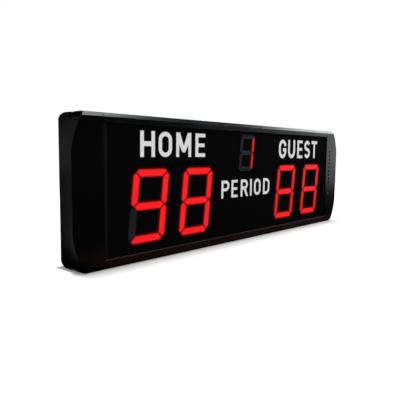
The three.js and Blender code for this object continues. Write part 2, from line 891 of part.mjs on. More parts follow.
const ribbonZ = controlZ;
const ribbonStart = controlX - ribbonFromBoardMiddle;
const displaySocketX = ribbonStart - ribbonSocketWidth / 2;

function makeDisplayBoard() {
  const width = railLength - 2 * displayBoardEndGap;
  const height = boardHeight - 2 * (slotFloor + fitGap);
  let board = prism("y", rectangle(width, height, 0, boardHeight / 2), displayFront, displayRear);
  for (const { scale, x, z } of digits) {
    for (const [pinX, pinZ] of pinPlaces(scale)) {
      const hole = rectangle(pinSize + 2 * fitGap, pinSize + 2 * fitGap, x + pinX, z + pinZ);
      board = board.subtract(prism("y", hole, displayFront - cutOverrun, displayRear + cutOverrun));
    }
    const driver = rectangle(driverLength, driverWidth, x, driverAboveBase);
    board = board.add(mounted(driver, displayRear, 1, driverHeight, displayBoardThickness));
    for (let i = 0; i < transistorsInRow; i += 1) {
      const along = x + (i - (transistorsInRow - 1) / 2) * transistorPitch;
      const place = rectangle(transistorSize, transistorSize, along, transistorAboveBase);
      board = board.add(mounted(place, displayRear, 1, driverHeight, displayBoardThickness));
    }
  }
  const socket = rectangle(ribbonSocketWidth, ribbonSocketLength, displaySocketX, ribbonZ);
  board = board.add(mounted(socket, displayRear, 1, ribbonSocketHeight, displayBoardThickness));
  return piece("display_board", board, boardGreen);
}

// Planes and places of the control board
const standoffRear = backPanelFront - fitGap;
const standoffFront = standoffRear - standoffLength;
const controlRear = standoffFront - fitGap;
const controlFront = controlRear - controlBoardThickness;
const controlSocketX = ribbonStart + ribbonSpan + ribbonSocketWidth / 2;
const controlRight = controlX + controlBoardWidth / 2;
const controlTop = controlZ + controlBoardHeight / 2;
const plugX = controlRight - standoffInset - plugWidth / 2;

function standoffPlaces() {
  const acrossX = controlBoardWidth / 2 - standoffInset;
  const acrossZ = controlBoardHeight / 2 - standoffInset;
  return [
    [controlX - acrossX, controlZ - acrossZ],
    [controlX + acrossX, controlZ - acrossZ],
    [controlX - acrossX, controlZ + acrossZ],
    [controlX + acrossX, controlZ + acrossZ],
  ];
}

// Heights on the board of the plugs for power, receiver and buzzer
const powerPlugZ = controlZ - plugPitch;
const receiverPlugZ = controlZ;
const buzzerPlugZ = controlZ + plugPitch;

function makeControlBoard() {
  const outline = rectangle(controlBoardWidth, controlBoardHeight, controlX, controlZ);
  let board = prism("y", outline, controlFront, controlRear);
  const fit = (place, tall) => {
    board = board.add(mounted(place, controlFront, -1, tall, controlBoardThickness));
  };
  fit(rectangle(processorSize, processorSize, controlX, controlZ), processorHeight);
  const crystalX = controlX + processorSize + crystalLength / 2;
  fit(rectangle(crystalLength, crystalWidth, crystalX, controlZ), crystalHeight);
  for (let i = 0; i < chipsInRow; i += 1) {
    const chipX = controlX + (i - (chipsInRow - 1) / 2) * chipPitch;
    fit(rectangle(chipLength, chipWidth, chipX, controlTop - chipInset), chipHeight);
  }
  const supplyZ = controlZ - controlBoardHeight / 2 + capacitorInset;
  for (let i = 0; i < capacitorsInRow; i += 1) {
    const capacitorX = plugX - capacitorFromPlug - i * capacitorPitch;
    fit(circle(capacitorDiameter, smallRoundSides, capacitorX, supplyZ), capacitorHeight);
  }
  const regulatorX = controlX - processorSize;
  fit(rectangle(regulatorWidth, regulatorThickness, regulatorX, supplyZ), regulatorHeight);
  for (const z of [powerPlugZ, receiverPlugZ, buzzerPlugZ]) {
    fit(rectangle(plugWidth, plugLength, plugX, z), plugHeight);
  }
  fit(rectangle(ribbonSocketWidth, ribbonSocketLength, controlSocketX, ribbonZ), ribbonSocketHeight);
  for (const [x, z] of standoffPlaces()) {
    const hole = circle(screwHole, smallRoundSides, x, z);
    board = board.subtract(prism("y", hole, controlFront - cutOverrun, controlRear + cutOverrun));
  }
  return piece("control_board", board, boardGreen);
}

function makeStandoffs() {
  const boreOutline = circle(screwHole, smallRoundSides);
  const bore = prism("y", boreOutline, standoffFront - cutOverrun, standoffRear + cutOverrun);
  const solid = prism("y", hexagon(standoffFlats), standoffFront, standoffRear).subtract(bore);
  return standoffPlaces().map(([x, z], i) => {
    const standoff = piece("board_standoff_" + (i + 1), solid, brass);
    standoff.position.set(x, 0, z);
    return standoff;
  });
}

// A flat cable that leaves one socket sideways and enters the other
function makeRibbon() {
  const startX = displaySocketX + ribbonSocketWidth / 2 + fitGap;
  const endX = controlSocketX - ribbonSocketWidth / 2 - fitGap;
  const startY = displayRear + ribbonSocketHeight / 2;
  const endY = controlFront - ribbonSocketHeight / 2;
  const path = new THREE.CubicBezierCurve(
    new THREE.Vector2(startX, startY),
    new THREE.Vector2((startX + endX) / 2, startY),
    new THREE.Vector2((startX + endX) / 2, endY),
    new THREE.Vector2(endX, endY),
  );
  const nearSide = [];
  const farSide = [];
  for (let i = 0; i <= ribbonSteps; i += 1) {
    const point = path.getPoint(i / ribbonSteps);
    const along = path.getTangent(i / ribbonSteps);
    const across = new THREE.Vector2(-along.y, along.x).multiplyScalar(ribbonThickness / 2);
    nearSide.push([point.x - across.x, point.y - across.y]);
    farSide.unshift([point.x + across.x, point.y + across.y]);
  }
  const ribbon = prism("z", [...nearSide, ...farSide], ribbonZ - ribbonWidth / 2, ribbonZ + ribbonWidth / 2);
  return piece("ribbon_cable", ribbon, ribbonGrey);
}

// Places of the switch and the inlet in the pocket
const switchX = pocketX + switchFromPocket;
const jackX = pocketX + jackFromPocket;
const bezelFront = pocketFloorRear + fitGap;
const bezelRear = bezelFront + switchBezelThickness;
const rockerY = bezelFront;
const rockerFloor = rockerY - rockerInside - rockerRadius * Math.sin(rockerTilt) - fitGap;
const switchInside = pocketFloorFront - switchBodyDepth;
const jackRear = bezelFront + jackFlangeThickness;
const jackInside = jackRear - jackLength;

// The outline of the pocket, moved out on every side
function pocketOutline(outwards) {
  return roundedRectangle(
    pocketWidth + 2 * outwards,
    pocketHeight + 2 * outwards,
    pocketRadius + outwards,
    pocketX,
    pocketZ,
  );
}

// The tray passes through the back panel and rests with its flange behind it
function makePowerTray() {
  let tray = prism("y", pocketOutline(trayWall), pocketFloorFront, backPanelRear);
  tray = tray.add(prism("y", pocketOutline(trayWall + trayFlange), flangeFront, flangeRear));
  tray = tray.subtract(prism("y", pocketOutline(0), pocketFloorRear, backPanelRear + cutOverrun));
  const switchHoleWidth = switchBodyWidth + 2 * fitGap;
  const switchHole = rectangle(switchHoleWidth, switchBodyHeight + 2 * fitGap, switchX, pocketZ);
  const jackHole = circle(jackBarrel + 2 * fitGap, roundSides, jackX, pocketZ);
  for (const hole of [switchHole, jackHole]) {
    tray = tray.subtract(prism("y", hole, pocketFloorFront - cutOverrun, pocketFloorRear + cutOverrun));
  }
  return piece("power_tray", tray, mouldedBlack);
}

function makeBackPanel() {
  const panelHeight = boardHeight - 2 * backPanelEdge;
  const panelOutline = rectangle(2 * panelEnd, panelHeight, 0, boardHeight / 2);
  const window = prism(
    "y",
    pocketOutline(trayWall + fitGap),
    backPanelFront - cutOverrun,
    backPanelRear + cutOverrun,
  );
  let panel = prism("y", panelOutline, backPanelFront, backPanelRear).subtract(window);
  for (const [x, z] of standoffPlaces()) {
    const hole = circle(screwHole, smallRoundSides, x, z);
    panel = panel.subtract(prism("y", hole, backPanelFront - cutOverrun, backPanelRear + cutOverrun));
  }
  return piece("back_panel", panel, paintedSheet);
}

function makeJack() {
  const pinEnd = jackRear - jackPinRecess;
  const boreFloor = jackRear - jackBoreDepth;
  const profile = [
    [0, jackInside],
    [jackBarrel / 2, jackInside],
    [jackBarrel / 2, bezelFront],
    [jackFlange / 2, bezelFront],
    [jackFlange / 2, jackRear],
    [jackBore / 2, jackRear],
    [jackBore / 2, boreFloor],
    [jackPin / 2, boreFloor],
    [jackPin / 2, pinEnd],
    [0, pinEnd],
  ];
  const jack = piece("power_inlet", turned(profile, roundSides), nickel);
  jack.position.set(jackX, 0, pocketZ);
  const nutRear = pocketFloorFront - fitGap;
  const nutFront = nutRear - jackNutThickness;
  const boreOutline = circle(jackBarrel + 2 * fitGap, roundSides);
  const bore = prism("y", boreOutline, nutFront - cutOverrun, nutRear + cutOverrun);
  const nutSolid = prism("y", hexagon(jackNutFlats), nutFront, nutRear).subtract(bore);
  const nut = piece("power_inlet_nut", nutSolid, nickel);
  nut.position.set(jackX, 0, pocketZ);
  return [jack, nut];
}

function makeSwitch() {
  const bezel = prism("y", rectangle(switchBezelWidth, switchBezelHeight), bezelFront, bezelRear);
  const bodyOutline = rectangle(switchBodyWidth, switchBodyHeight);
  const bodyRear = bezelFront + switchBezelThickness / 2;
  let body = bezel.add(prism("y", bodyOutline, switchInside, bodyRear));
  const well = rectangle(rockerWidth + 2 * fitGap, 2 * (rockerRadius + fitGap));
  body = body.subtract(prism("y", well, rockerFloor, bezelRear + cutOverrun));
  const pinBore = circle(rockerPin + 2 * fitGap, smallRoundSides, rockerY, 0);
  const boreReach = rockerWidth / 2 + rockerPinLength + fitGap;
  body = body.subtract(prism("x", pinBore, -boreReach, boreReach));
  for (const side of [-1, 1]) {
    const tag = rectangle(switchTagWidth, switchTagThickness, 0, (side * switchTagSpacing) / 2);
    body = body.add(prism("y", tag, switchInside - switchTagLength, switchInside + switchTagThickness));
  }
  const frame = piece("switch_frame", body, mouldedBlack);
  frame.position.set(switchX, 0, pocketZ);
  return frame;
}

// The rocker turns about its pins; its ends are round about them
function makeRocker() {
  const tip = Math.asin(rockerTipRise / rockerRadius);
  const heel = Math.asin(rockerInside / rockerRadius);
  const upperEnd = arc(0, 0, rockerRadius, Math.PI / 2 - tip, Math.PI / 2 + heel, rockerArcSteps);
  const lowerEnd = arc(0, 0, rockerRadius, -Math.PI / 2 - heel, -Math.PI / 2 + tip, rockerArcSteps);
  const outline = [[rockerMiddleRise, 0], ...upperEnd, ...lowerEnd];
  const pinEnd = rockerWidth / 2 + rockerPinLength;
  const solid = prism("x", outline, -rockerWidth / 2, rockerWidth / 2).add(
    prism("x", circle(rockerPin, smallRoundSides), -pinEnd, pinEnd),
  );
  const rocker = piece("power_rocker", solid, mouldedBlack);
  rocker.position.set(switchX, rockerY, pocketZ);
  rocker.rotation.x = -rockerTilt;
  return rocker;
}

// An insulated lead along a smooth route
function lead(name, route, finish) {
  const section = new THREE.Shape(
    circle(leadDiameter, leadSides).map(([a, b]) => new THREE.Vector2(a, b)),
  );
  const path = new THREE.CatmullRomCurve3(route.map(([x, y, z]) => new THREE.Vector3(x, y, z)));
  const geometry = new THREE.ExtrudeGeometry(section, { extrudePath: path, steps: leadSteps });
  return piece(name, solidFrom(geometry), finish);
}

function makeLeads() {
  const tagEnd = switchInside - switchTagLength - fitGap;
  const upperTag = pocketZ + switchTagSpacing / 2;
  const lowerTag = pocketZ - switchTagSpacing / 2;
  const jackEnd = jackInside - fitGap;
  const plugY = controlFront - plugHeight / 2;
  const plugSide = plugX + plugWidth / 2 + fitGap;
  const behindDisplay = displayRear + driverHeight + leadDiameter + leadBow / 2;
  const buzzerRear = lipRear + fitGap + buzzerHeight + fitGap;
  const receiverBack = receiverRear + fitGap;
  const turnX = capInner + leadBow;
  return [
    lead(
      "inlet_lead",
      [
        [jackX, jackEnd, pocketZ],
        [jackX, jackEnd - leadDiameter, pocketZ],
        [(jackX + switchX) / 2, tagEnd - leadDiameter, pocketZ - leadBow],
        [switchX, tagEnd - leadDiameter, lowerTag],
        [switchX, tagEnd, lowerTag],
      ],
      leadRed,
    ),
    lead(
      "switch_lead",
      [
        [switchX, tagEnd, upperTag],
        [switchX, tagEnd - leadDiameter, upperTag],
        [(switchX + plugSide) / 2, plugY, (upperTag + powerPlugZ) / 2],
        [plugSide + leadBow, plugY, powerPlugZ],
        [plugSide, plugY, powerPlugZ],
      ],
      leadRed,
    ),
    lead(
      "buzzer_lead",
      [
        [buzzerX, buzzerRear, buzzerZ],
        [buzzerX, buzzerRear + leadBow, buzzerZ],
        [turnX, behindDisplay, buzzerZ],
        [(turnX + plugSide) / 2, behindDisplay, (buzzerZ + buzzerPlugZ) / 2],
        [plugSide + 2 * leadBow, plugY, buzzerPlugZ],
        [plugSide, plugY, buzzerPlugZ],
      ],
      leadBlack,
    ),
    lead(
      "receiver_lead",
      [
        [receiverX, receiverBack, windowZ],
        [receiverX, receiverBack + leadBow, windowZ],
        [turnX, behindDisplay, (windowZ + receiverPlugZ) / 2],
        [(turnX + plugSide) / 2, behindDisplay, receiverPlugZ],
        [plugSide + 2 * leadBow, plugY, receiverPlugZ],
        [plugSide, plugY, receiverPlugZ],
      ],
      leadBlack,
    ),
  ];
}

// Nuts that take the hanging screws, held in the groove of the top rail
function makeHangerNuts() {
  const headTop = boardHeight - slotLip - fitGap;
  const headBottom = boardHeight - slotDepth + fitGap;
  const head = slotHeadWidth / 2 - fitGap;
  const neck = slotMouth / 2 - fitGap;
  const neckTop = boardHeight - nutTopInset;
  const outline = [
    [-head, headBottom],
    [head, headBottom],
    [head, headTop],
    [neck, headTop],
    [neck, neckTop],
    [-neck, neckTop],
    [-neck, headTop],
    [-head, headTop],
  ];
  const bore = prism("z", circle(nutHole, smallRoundSides), headBottom - cutOverrun, neckTop + cutOverrun);
  const nut = prism("x", outline, -nutLength / 2, nutLength / 2).subtract(bore);
  const left = piece("hanger_nut_left", nut, zincSteel);
  left.position.set(nutFromRailEnd - railLength / 2, slotMiddle, 0);
  const right = piece("hanger_nut_right", nut, zincSteel);
  right.position.set(railLength / 2 - nutFromRailEnd, slotMiddle, 0);
  return [left, right];
}

const scoreboard = new THREE.Group();
scoreboard.add(
  ...makeRails(),
  ...makeCaps(),
  makeFrontPanel(),
  makeBackPanel(),
  makePowerTray(),
  ...makeDigits(),
  makeDisplayBoard(),
  makeControlBoard(),
  ...makeStandoffs(),
  makeRibbon(),
  makeBuzzer(),
  ...makeReceiver(),
  ...makeJack(),
  makeSwitch(),
  makeRocker(),
  ...makeLeads(),
  ...makeHangerNuts(),
);

export default scoreboard;
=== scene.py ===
"""Finishes, digits, words, screws and stage of the electronic scoreboard."""

import json
import math

import bmesh
import bpy
from mathutils import Matrix, Vector


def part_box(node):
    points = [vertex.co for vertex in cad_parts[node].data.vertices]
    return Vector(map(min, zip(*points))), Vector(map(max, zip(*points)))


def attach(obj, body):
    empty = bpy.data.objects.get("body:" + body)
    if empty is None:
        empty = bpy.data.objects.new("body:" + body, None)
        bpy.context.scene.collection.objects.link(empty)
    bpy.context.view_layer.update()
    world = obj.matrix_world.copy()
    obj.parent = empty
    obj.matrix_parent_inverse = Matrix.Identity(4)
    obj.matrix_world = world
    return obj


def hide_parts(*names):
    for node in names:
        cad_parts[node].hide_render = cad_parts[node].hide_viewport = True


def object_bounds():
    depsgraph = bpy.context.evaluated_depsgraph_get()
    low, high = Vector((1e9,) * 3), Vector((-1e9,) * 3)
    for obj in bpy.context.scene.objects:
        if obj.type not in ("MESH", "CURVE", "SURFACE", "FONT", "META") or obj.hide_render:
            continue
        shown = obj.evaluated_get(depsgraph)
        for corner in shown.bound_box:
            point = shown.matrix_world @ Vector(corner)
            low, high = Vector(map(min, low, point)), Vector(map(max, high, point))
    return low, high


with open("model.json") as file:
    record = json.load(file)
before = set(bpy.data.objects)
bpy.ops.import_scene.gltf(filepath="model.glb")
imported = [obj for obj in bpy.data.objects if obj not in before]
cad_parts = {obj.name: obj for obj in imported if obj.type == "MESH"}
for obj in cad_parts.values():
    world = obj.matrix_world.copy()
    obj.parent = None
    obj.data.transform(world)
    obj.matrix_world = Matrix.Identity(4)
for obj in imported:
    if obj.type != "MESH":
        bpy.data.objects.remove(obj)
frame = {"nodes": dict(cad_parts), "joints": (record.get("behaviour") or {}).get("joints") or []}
cad_low, cad_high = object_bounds()

bl_info = {
    "name": "Electronic Scoreboard",
    "version": (1, 0, 0),
    "blender": (4, 5, 0),
    "location": "3D View > Sidebar > Scoreboard",
    "description": "Dresses the scoreboard: finishes, lit digits, words, screws and stage",
    "category": "Object",
}

MM = 0.001
BOARD = "scoreboard"
DIGITS = ("home_tens", "home_ones", "period", "guest_tens", "guest_ones")
GLOSS = "Specular IOR Level"
WHITE = (1.0, 1.0, 1.0)
DIAGONAL = math.sqrt(0.5)

# Places in the case: the upper edge of the bottom rail's front lip, and the column of sound holes
RAIL_LIP = 9.7 * MM
# How far below the lip's top the band reaches that is painted as a highlight line
LIP_HIGHLIGHT_WIDTH = 0.45 * MM
HOLE_COLUMN, TOP_HOLE, HOLE_PITCH, HOLE_COUNT = 235 * MM, 115.95 * MM, 6.3 * MM, 9

# The round rear edges: their radius in the solids, and their depth and height in the scene
REAR_RADIUS, REAR_DEPTH, REAR_HEIGHT = 6 * MM, 13 * MM, 7 * MM

# How far in from the top or the bottom and from the back the stretching of those edges reaches
REAR_LIP, REAR_FADE = 8 * MM, 16 * MM

# Faces that turn by less become one, edges that turn by less get no bevel or stay smooth
FLAT_ANGLE, BEVEL_ANGLE = math.radians(0.4), math.radians(35)
CASE_ANGLE, BAR_ANGLE, SEAL_ANGLE = math.radians(40), math.radians(50), math.radians(45)

# Corners that lie nearer to each other become one
WELD, PRINT_WELD = 0.002 * MM, 0.001 * MM

# Radii of small edges beside that of the case, and the thin seal strips
SHEET_EDGE_SHARE, NUT_EDGE_SHARE = 0.75, 0.6
SEAL_THICKNESS, SEAL_END_GAP = 0.28 * MM, 0.2 * MM

# Inside: thickness of a board with its mask, and of the smaller receiver board
BOARD_SKIN, RECEIVER_SKIN, PIN_START = 1.7 * MM, 1.3 * MM, 0.1 * MM
STANDOFFS = range(1, 5)

# Ribbon cable: distance of its wires, and the length of Blender's own wave at a scale of one
WIRE_PITCH, WAVE_LENGTH = 1.27 * MM, 0.31

# The bars that 0 to 9 light, counted from the top one clockwise, the middle one last
LIT_BARS = ("012345", "12", "01346", "01236", "1256", "02356", "023456", "012", "0123456", "012356")

# Moulded blacks of the back, and the matte of the front
TRAY_BLACK = (0.011, 0.0115, 0.012)
SWITCH_BLACK = (0.016, 0.0165, 0.017)
ROCKER_BLACK = (0.022, 0.022, 0.023)
MATTE = {GLOSS: 0.012}

# Rocker: reach and half length of its pin's bore, its face's low and high point and their distance
PIN_REACH = (1.7 * MM, 6 * MM)
ROCKER_FACE = (2.2 * MM, 3.2 * MM, 7.2 * MM)

# Its two marks: place as a share of the face, gap under the ink, ink, ring's radii, line's size
MARK_SHARE, MARK_GAP, MARK_INK = 0.55, 0.03 * MM, 0.04 * MM
MARK_RING = (1.5 * MM, 0.95 * MM)
MARK_LINE = (0.6 * MM, 3.0 * MM)

# Screw heads: how much the top is narrower and how far its rim falls, as shares
HEAD_TAPER, HEAD_CROWN = 0.45, 0.35

# Pen strokes: the shortest step as a share of the pen, and how blunt a corner has to be at least
STEP_SHARE, BLUNT_SHARE = 0.01, 0.5

# How steeply the red light beside a bar fades
SPILL_POWER = 2.5

# Floor: distances between which it turns plain white, and the reach of the close shadow
WHITE_FLOOR = (0.45, 1.3)
SHADOW_REACH = 40 * MM


# Nodes of the finishes


def feed(tree, node, inputs):
    """Fills a node's inputs with values or other nodes' sockets."""
    for key, value in inputs.items():
        socket = node.inputs[key]
        if isinstance(value, bpy.types.NodeSocket):
            tree.links.new(value, socket)
        elif socket.type == "RGBA" and len(value) == 3:
            socket.default_value = (*value, 1.0)
        else:
            socket.default_value = value


def add_node(tree, kind, inputs=None, **settings):
    """A node with its settings and inputs."""
    node = tree.nodes.new(kind)
    for key, value in settings.items():
        setattr(node, key, value)
    feed(tree, node, inputs or {})
    return node


def shader_of(material):
    """The one shader of a finish."""
    return material.node_tree.nodes["Principled BSDF"]


def start_finish(name):
    """An empty procedural material, its tree and its shader."""
    material = bpy.data.materials.new(name)
    material.use_nodes = True
    return material, material.node_tree, shader_of(material)


def object_point(tree):
    """The point of the piece in metres."""
    return add_node(tree, "ShaderNodeTexCoord").outputs["Object"]


def object_axes(tree):
    """The point's X, Y and Z."""
    return add_node(tree, "ShaderNodeSeparateXYZ", {"Vector": object_point(tree)}).outputs


def surface_point(tree, stretch=(1.0, 1.0, 1.0)):
    """The point, stretched for a pattern that runs one way."""
    inputs = {"Vector": object_point(tree), "Scale": stretch}
    return add_node(tree, "ShaderNodeMapping", inputs).outputs["Vector"]


def noise(tree, point, grain, detail=2.0, roughness=0.5):
    """Noise whose grains measure the given length in metres."""
    inputs = {"Vector": point, "Scale": 1 / grain, "Detail": detail, "Roughness": roughness}
    return add_node(tree, "ShaderNodeTexNoise", inputs).outputs["Fac"]


def between(tree, factor, low, high, start=0.3, end=0.7):
    """A number that goes from low to high while a pattern goes from start to end."""
    inputs = {"Value": factor, "From Min": start, "From Max": end, "To Min": low, "To Max": high}
    return add_node(tree, "ShaderNodeMapRange", inputs).outputs["Result"]


def blend_colours(tree, factor, first, second):
    """A colour that follows a pattern from the first to the second."""
    inputs = {0: factor, 6: first, 7: second}
    return add_node(tree, "ShaderNodeMix", inputs, data_type="RGBA").outputs[2]


def math_node(tree, operation, first, second=0.0, *more):
    """The result of a sum on numbers or sockets, taken from the left."""
    inputs = {0: first, 1: second}
    result = add_node(tree, "ShaderNodeMath", inputs, operation=operation).outputs[0]
    for value in more:
        result = math_node(tree, operation, result, value)
    return result


def times(tree, *values):
    """The product of numbers or sockets."""
    return math_node(tree, "MULTIPLY", *values)


def plus(tree, *values):
    """The sum of numbers or sockets."""
    return math_node(tree, "ADD", *values)


def minus(tree, *values):
    """The first number or socket less the others."""
    return math_node(tree, "SUBTRACT", *values)


def is_over(tree, value, limit):
    """One where a value is over a limit, zero elsewhere."""
    return math_node(tree, "GREATER_THAN", value, limit)


def is_under(tree, value, limit):
    """One where a value is under a limit, zero elsewhere."""
    return math_node(tree, "LESS_THAN", value, limit)


def root_of_squares(tree, spans):
    """The length of a line from its spans along the axes."""
    squares = [times(tree, span, span) for span in spans]
    return math_node(tree, "SQRT", plus(tree, *squares))


def raise_surface(tree, shader, height, depth):
    """Bump from a pattern, with the depth of its relief in metres."""
    bump = add_node(tree, "ShaderNodeBump", {"Height": height, "Distance": depth, "Strength": 1.0})
    feed(tree, shader, {"Normal": bump.outputs["Normal"]})


def scaled(colour, share):
    """A darker or lighter shade of a colour."""
    return tuple(min(1.0, value * share) for value in colour)


def mottled_finish(
    name, colour, roughness, grain, relief, spread=0.25, stretch=(1.0, 1.0, 1.0), looks=None
):
    """A finish with broad changes of tone, a fine grain and a changing gloss."""
    material, tree, shader = start_finish(name)
    fine_point = surface_point(tree, stretch)
    broad = noise(tree, surface_point(tree), grain=45 * MM, detail=3.0)
    fine = noise(tree, fine_point, grain, detail=3.0, roughness=0.6)
    tone = blend_colours(tree, broad, scaled(colour, 1 - spread), scaled(colour, 1 + spread))
    speck = between(tree, fine, 0.0, 1.0, start=0.35, end=0.65)
    inputs = {
        "Base Color": blend_colours(tree, speck, scaled(colour, 0.9), tone),
        "Roughness": between(tree, broad, roughness * 0.88, roughness * 1.12),
    }
    feed(tree, shader, {**inputs, **(looks or {})})
    raise_surface(tree, shader, fine, relief)
    return material


def anodised_aluminium(settings):
    """Black anodised extrusion with fine die lines along its length, and a painted highlight line
    on the lip.
    """
    material = mottled_finish(
        "black_anodised_aluminium",
        settings.rail_colour,
        settings.rail_roughness,
        grain=0.35 * MM,
        relief=0.004 * MM,
        stretch=(0.004, 1.0, 1.0),
    )
    tree, shader = material.node_tree, shader_of(material)
    tone = shader.inputs["Base Color"].links[0].from_socket
    # Painted highlight: a lighter, non-metallic band along the lip's inner edge
    rim = lip_highlight_band(tree)
    inputs = {
        "Base Color": blend_colours(tree, rim, tone, settings.lip_highlight_colour),
        "Metallic": minus(tree, 1.0, rim),
    }
    feed(tree, shader, inputs)
    return material


def lip_highlight_band(tree):
    """One on the inner edge of the bottom rail's front lip, where a highlight line is painted, zero
    elsewhere.
    """
    low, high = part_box("front_panel")
    axes = object_axes(tree)
    above = is_over(tree, axes["Z"], RAIL_LIP - LIP_HIGHLIGHT_WIDTH)
    below = is_under(tree, axes["Z"], (low.z + high.z) / 2)
    before_panel = is_under(tree, axes["Y"], low.y - 0.1 * MM)
    return times(tree, above, below, before_panel)


def moulded_plastic(settings, name="black_moulded_plastic", colour=None):
    """Black moulded plastic with a fine spark-eroded grain."""
    return mottled_finish(
        name,
        colour or settings.cap_colour,
        settings.cap_roughness,
        grain=0.5 * MM,
        relief=0.006 * MM,
        looks={GLOSS: settings.cap_gloss},
    )


def perforated_plastic(settings):
    """The moulded plastic of the right end cap, matte black in and round its sound holes."""
    material = moulded_plastic(settings, "black_perforated_plastic")
    tree = material.node_tree
    axes = object_axes(tree)
    off_top = minus(tree, TOP_HOLE + HOLE_PITCH / 2, axes["Z"])
    step = math_node(tree, "MODULO", off_top, HOLE_PITCH)
    rise = minus(tree, step, HOLE_PITCH / 2)
    side = minus(tree, axes["X"], HOLE_COLUMN)
    inside = is_under(tree, root_of_squares(tree, (rise, side)), settings.hole_ring)
    from_top = is_over(tree, off_top, 0.0)
    to_bottom = is_under(tree, off_top, HOLE_COUNT * HOLE_PITCH)
    column_only = times(tree, from_top, to_bottom)
    hole = times(tree, inside, column_only)
    gloss = between(tree, hole, settings.cap_gloss, 0.0, start=0.0, end=1.0)
    feed(tree, shader_of(material), {GLOSS: gloss})
    return material


def plated_metal(name, colour, roughness):
    """Plated metal with faint spots and wiping marks."""
    return mottled_finish(
        name,
        colour,
        roughness,
        grain=0.8 * MM,
        relief=0.003 * MM,
        spread=0.12,
        looks={"Metallic": 1.0},
    )


def soft_insulation(name, colour):
    """Soft insulation with a dull skin and faint stretch marks."""
    return mottled_finish(
        name,
        colour,
        roughness=0.5,
        grain=1.5 * MM,
        relief=0.01 * MM,
        spread=0.15,
        looks={GLOSS: 0.4},
    )


def front_sheet(settings):
    """Deep black printed sheet behind the lips of the case."""
    return mottled_finish(
        "black_front_sheet",
        settings.panel_colour,
        settings.panel_roughness,
        grain=0.25 * MM,
        relief=0.002 * MM,
        looks=MATTE,
    )


def powder_coat(settings):
    """Black powder coat with the orange peel that baking leaves."""
    return mottled_finish(
        "black_powder_coat",
        settings.back_colour,
        roughness=0.48,
        grain=1.1 * MM,
        relief=0.03 * MM,
        looks={GLOSS: 0.35},
    )


def seal_rubber(settings):
    """Dull black rubber of the seal strips."""
    return mottled_finish(
        "black_seal_rubber",
        settings.seal_colour,
        roughness=0.6,
        grain=0.8 * MM,
        relief=0.006 * MM,
        looks={GLOSS: 0.1},
    )


def dark_bar(settings):
    """Diffusing bar with its light off."""
    return mottled_finish(
        "unlit_grey_bar",
        settings.unlit_colour,
        roughness=0.5,
        grain=0.9 * MM,
        relief=0.004 * MM,
        spread=0.15,
        looks={GLOSS: 0.2},
    )


def reflector_white():
    """White plastic of the reflectors."""
    return mottled_finish(
        "white_reflector",
        (0.82, 0.82, 0.8),
        roughness=0.5,
        grain=0.8 * MM,
        relief=0.004 * MM,
        spread=0.04,
    )


def smoked_window():
    """Small polished window over the receiver."""
    return mottled_finish(
        "smoked_receiver_window",
        (0.2, 0.19, 0.19),
        roughness=0.12,
        grain=2.0 * MM,
        relief=0.001 * MM,
        looks={"Coat Weight": 0.5, "Coat Roughness": 0.05},
    )


def depth_mask(tree, depth, towards_back=True):
    """One behind a depth in the case, zero before it, or the other way round."""
    compare = is_over if towards_back else is_under
    return compare(tree, object_axes(tree)["Y"], depth)


def board_finish(name, part_colour, part_depth, parts_behind, pin_depth=None):
    """Green solder mask with copper runs, and its fitted parts by their depth."""
    material, tree, shader = start_finish(name)
    inputs = {
        "Vector": surface_point(tree, (1.0, 0.0, 1.0)),
        "Color1": (0.012, 0.13, 0.045),
        "Color2": (0.016, 0.16, 0.06),
        "Mortar": (0.035, 0.25, 0.09),
        "Scale": 260.0,
        "Mortar Size": 0.035,
        "Brick Width": 2.4,
        "Row Height": 0.55,
    }
    brick = {"offset": 0.37, "squash": 1.6, "squash_frequency": 3}
    runs = add_node(tree, "ShaderNodeTexBrick", inputs, **brick).outputs
    weave = noise(tree, surface_point(tree), grain=0.6 * MM)
    bare = between(tree, weave, 0.0, 0.25)
    mask_tone = blend_colours(tree, bare, runs["Color"], (0.008, 0.08, 0.03))
    parts = depth_mask(tree, part_depth, parts_behind)
    colour = blend_colours(tree, parts, mask_tone, part_colour)
    if pin_depth is not None:
        pins = depth_mask(tree, pin_depth)
        colour = blend_colours(tree, pins, colour, (0.62, 0.61, 0.58))
        feed(tree, shader, {"Metallic": pins})
    feed(tree, shader, {"Base Color": colour, "Roughness": between(tree, weave, 0.32, 0.42)})
    raise_surface(tree, shader, runs["Fac"], 0.03 * MM)
    return material


def ribbon_finish():
    """Grey flat cable, ribbed by its wires, with painted shade between them and one red edge wire.
    """
    material, tree, shader = start_finish("grey_ribbon_cable")
    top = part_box("ribbon_cable")[1].z
    scale = WAVE_LENGTH / WIRE_PITCH
    inputs = {"Vector": surface_point(tree), "Scale": scale, "Distortion": 0.0}
    wires = add_node(tree, "ShaderNodeTexWave", inputs, bands_direction="Z").outputs["Fac"]
    edge = is_over(tree, object_axes(tree)["Z"], top - WIRE_PITCH)
    # Painted shade: the grey darkens where the ribs dip into the grooves between the wires
    grey = blend_colours(tree, wires, (0.2, 0.205, 0.215), (0.36, 0.37, 0.38))
    colour = blend_colours(tree, edge, grey, (0.5, 0.03, 0.03))
    feed(tree, shader, {"Base Color": colour, "Roughness": 0.55})
    raise_surface(tree, shader, wires, 0.25 * MM)
    return material


def bar_axes(tree):
    """The place on a bar: along it as X and across it as Y, from minus one to one."""
    run = add_node(tree, "ShaderNodeUVMap", uv_map="bar_run").outputs["UV"]
    return add_node(tree, "ShaderNodeSeparateXYZ", {"Vector": run}).outputs


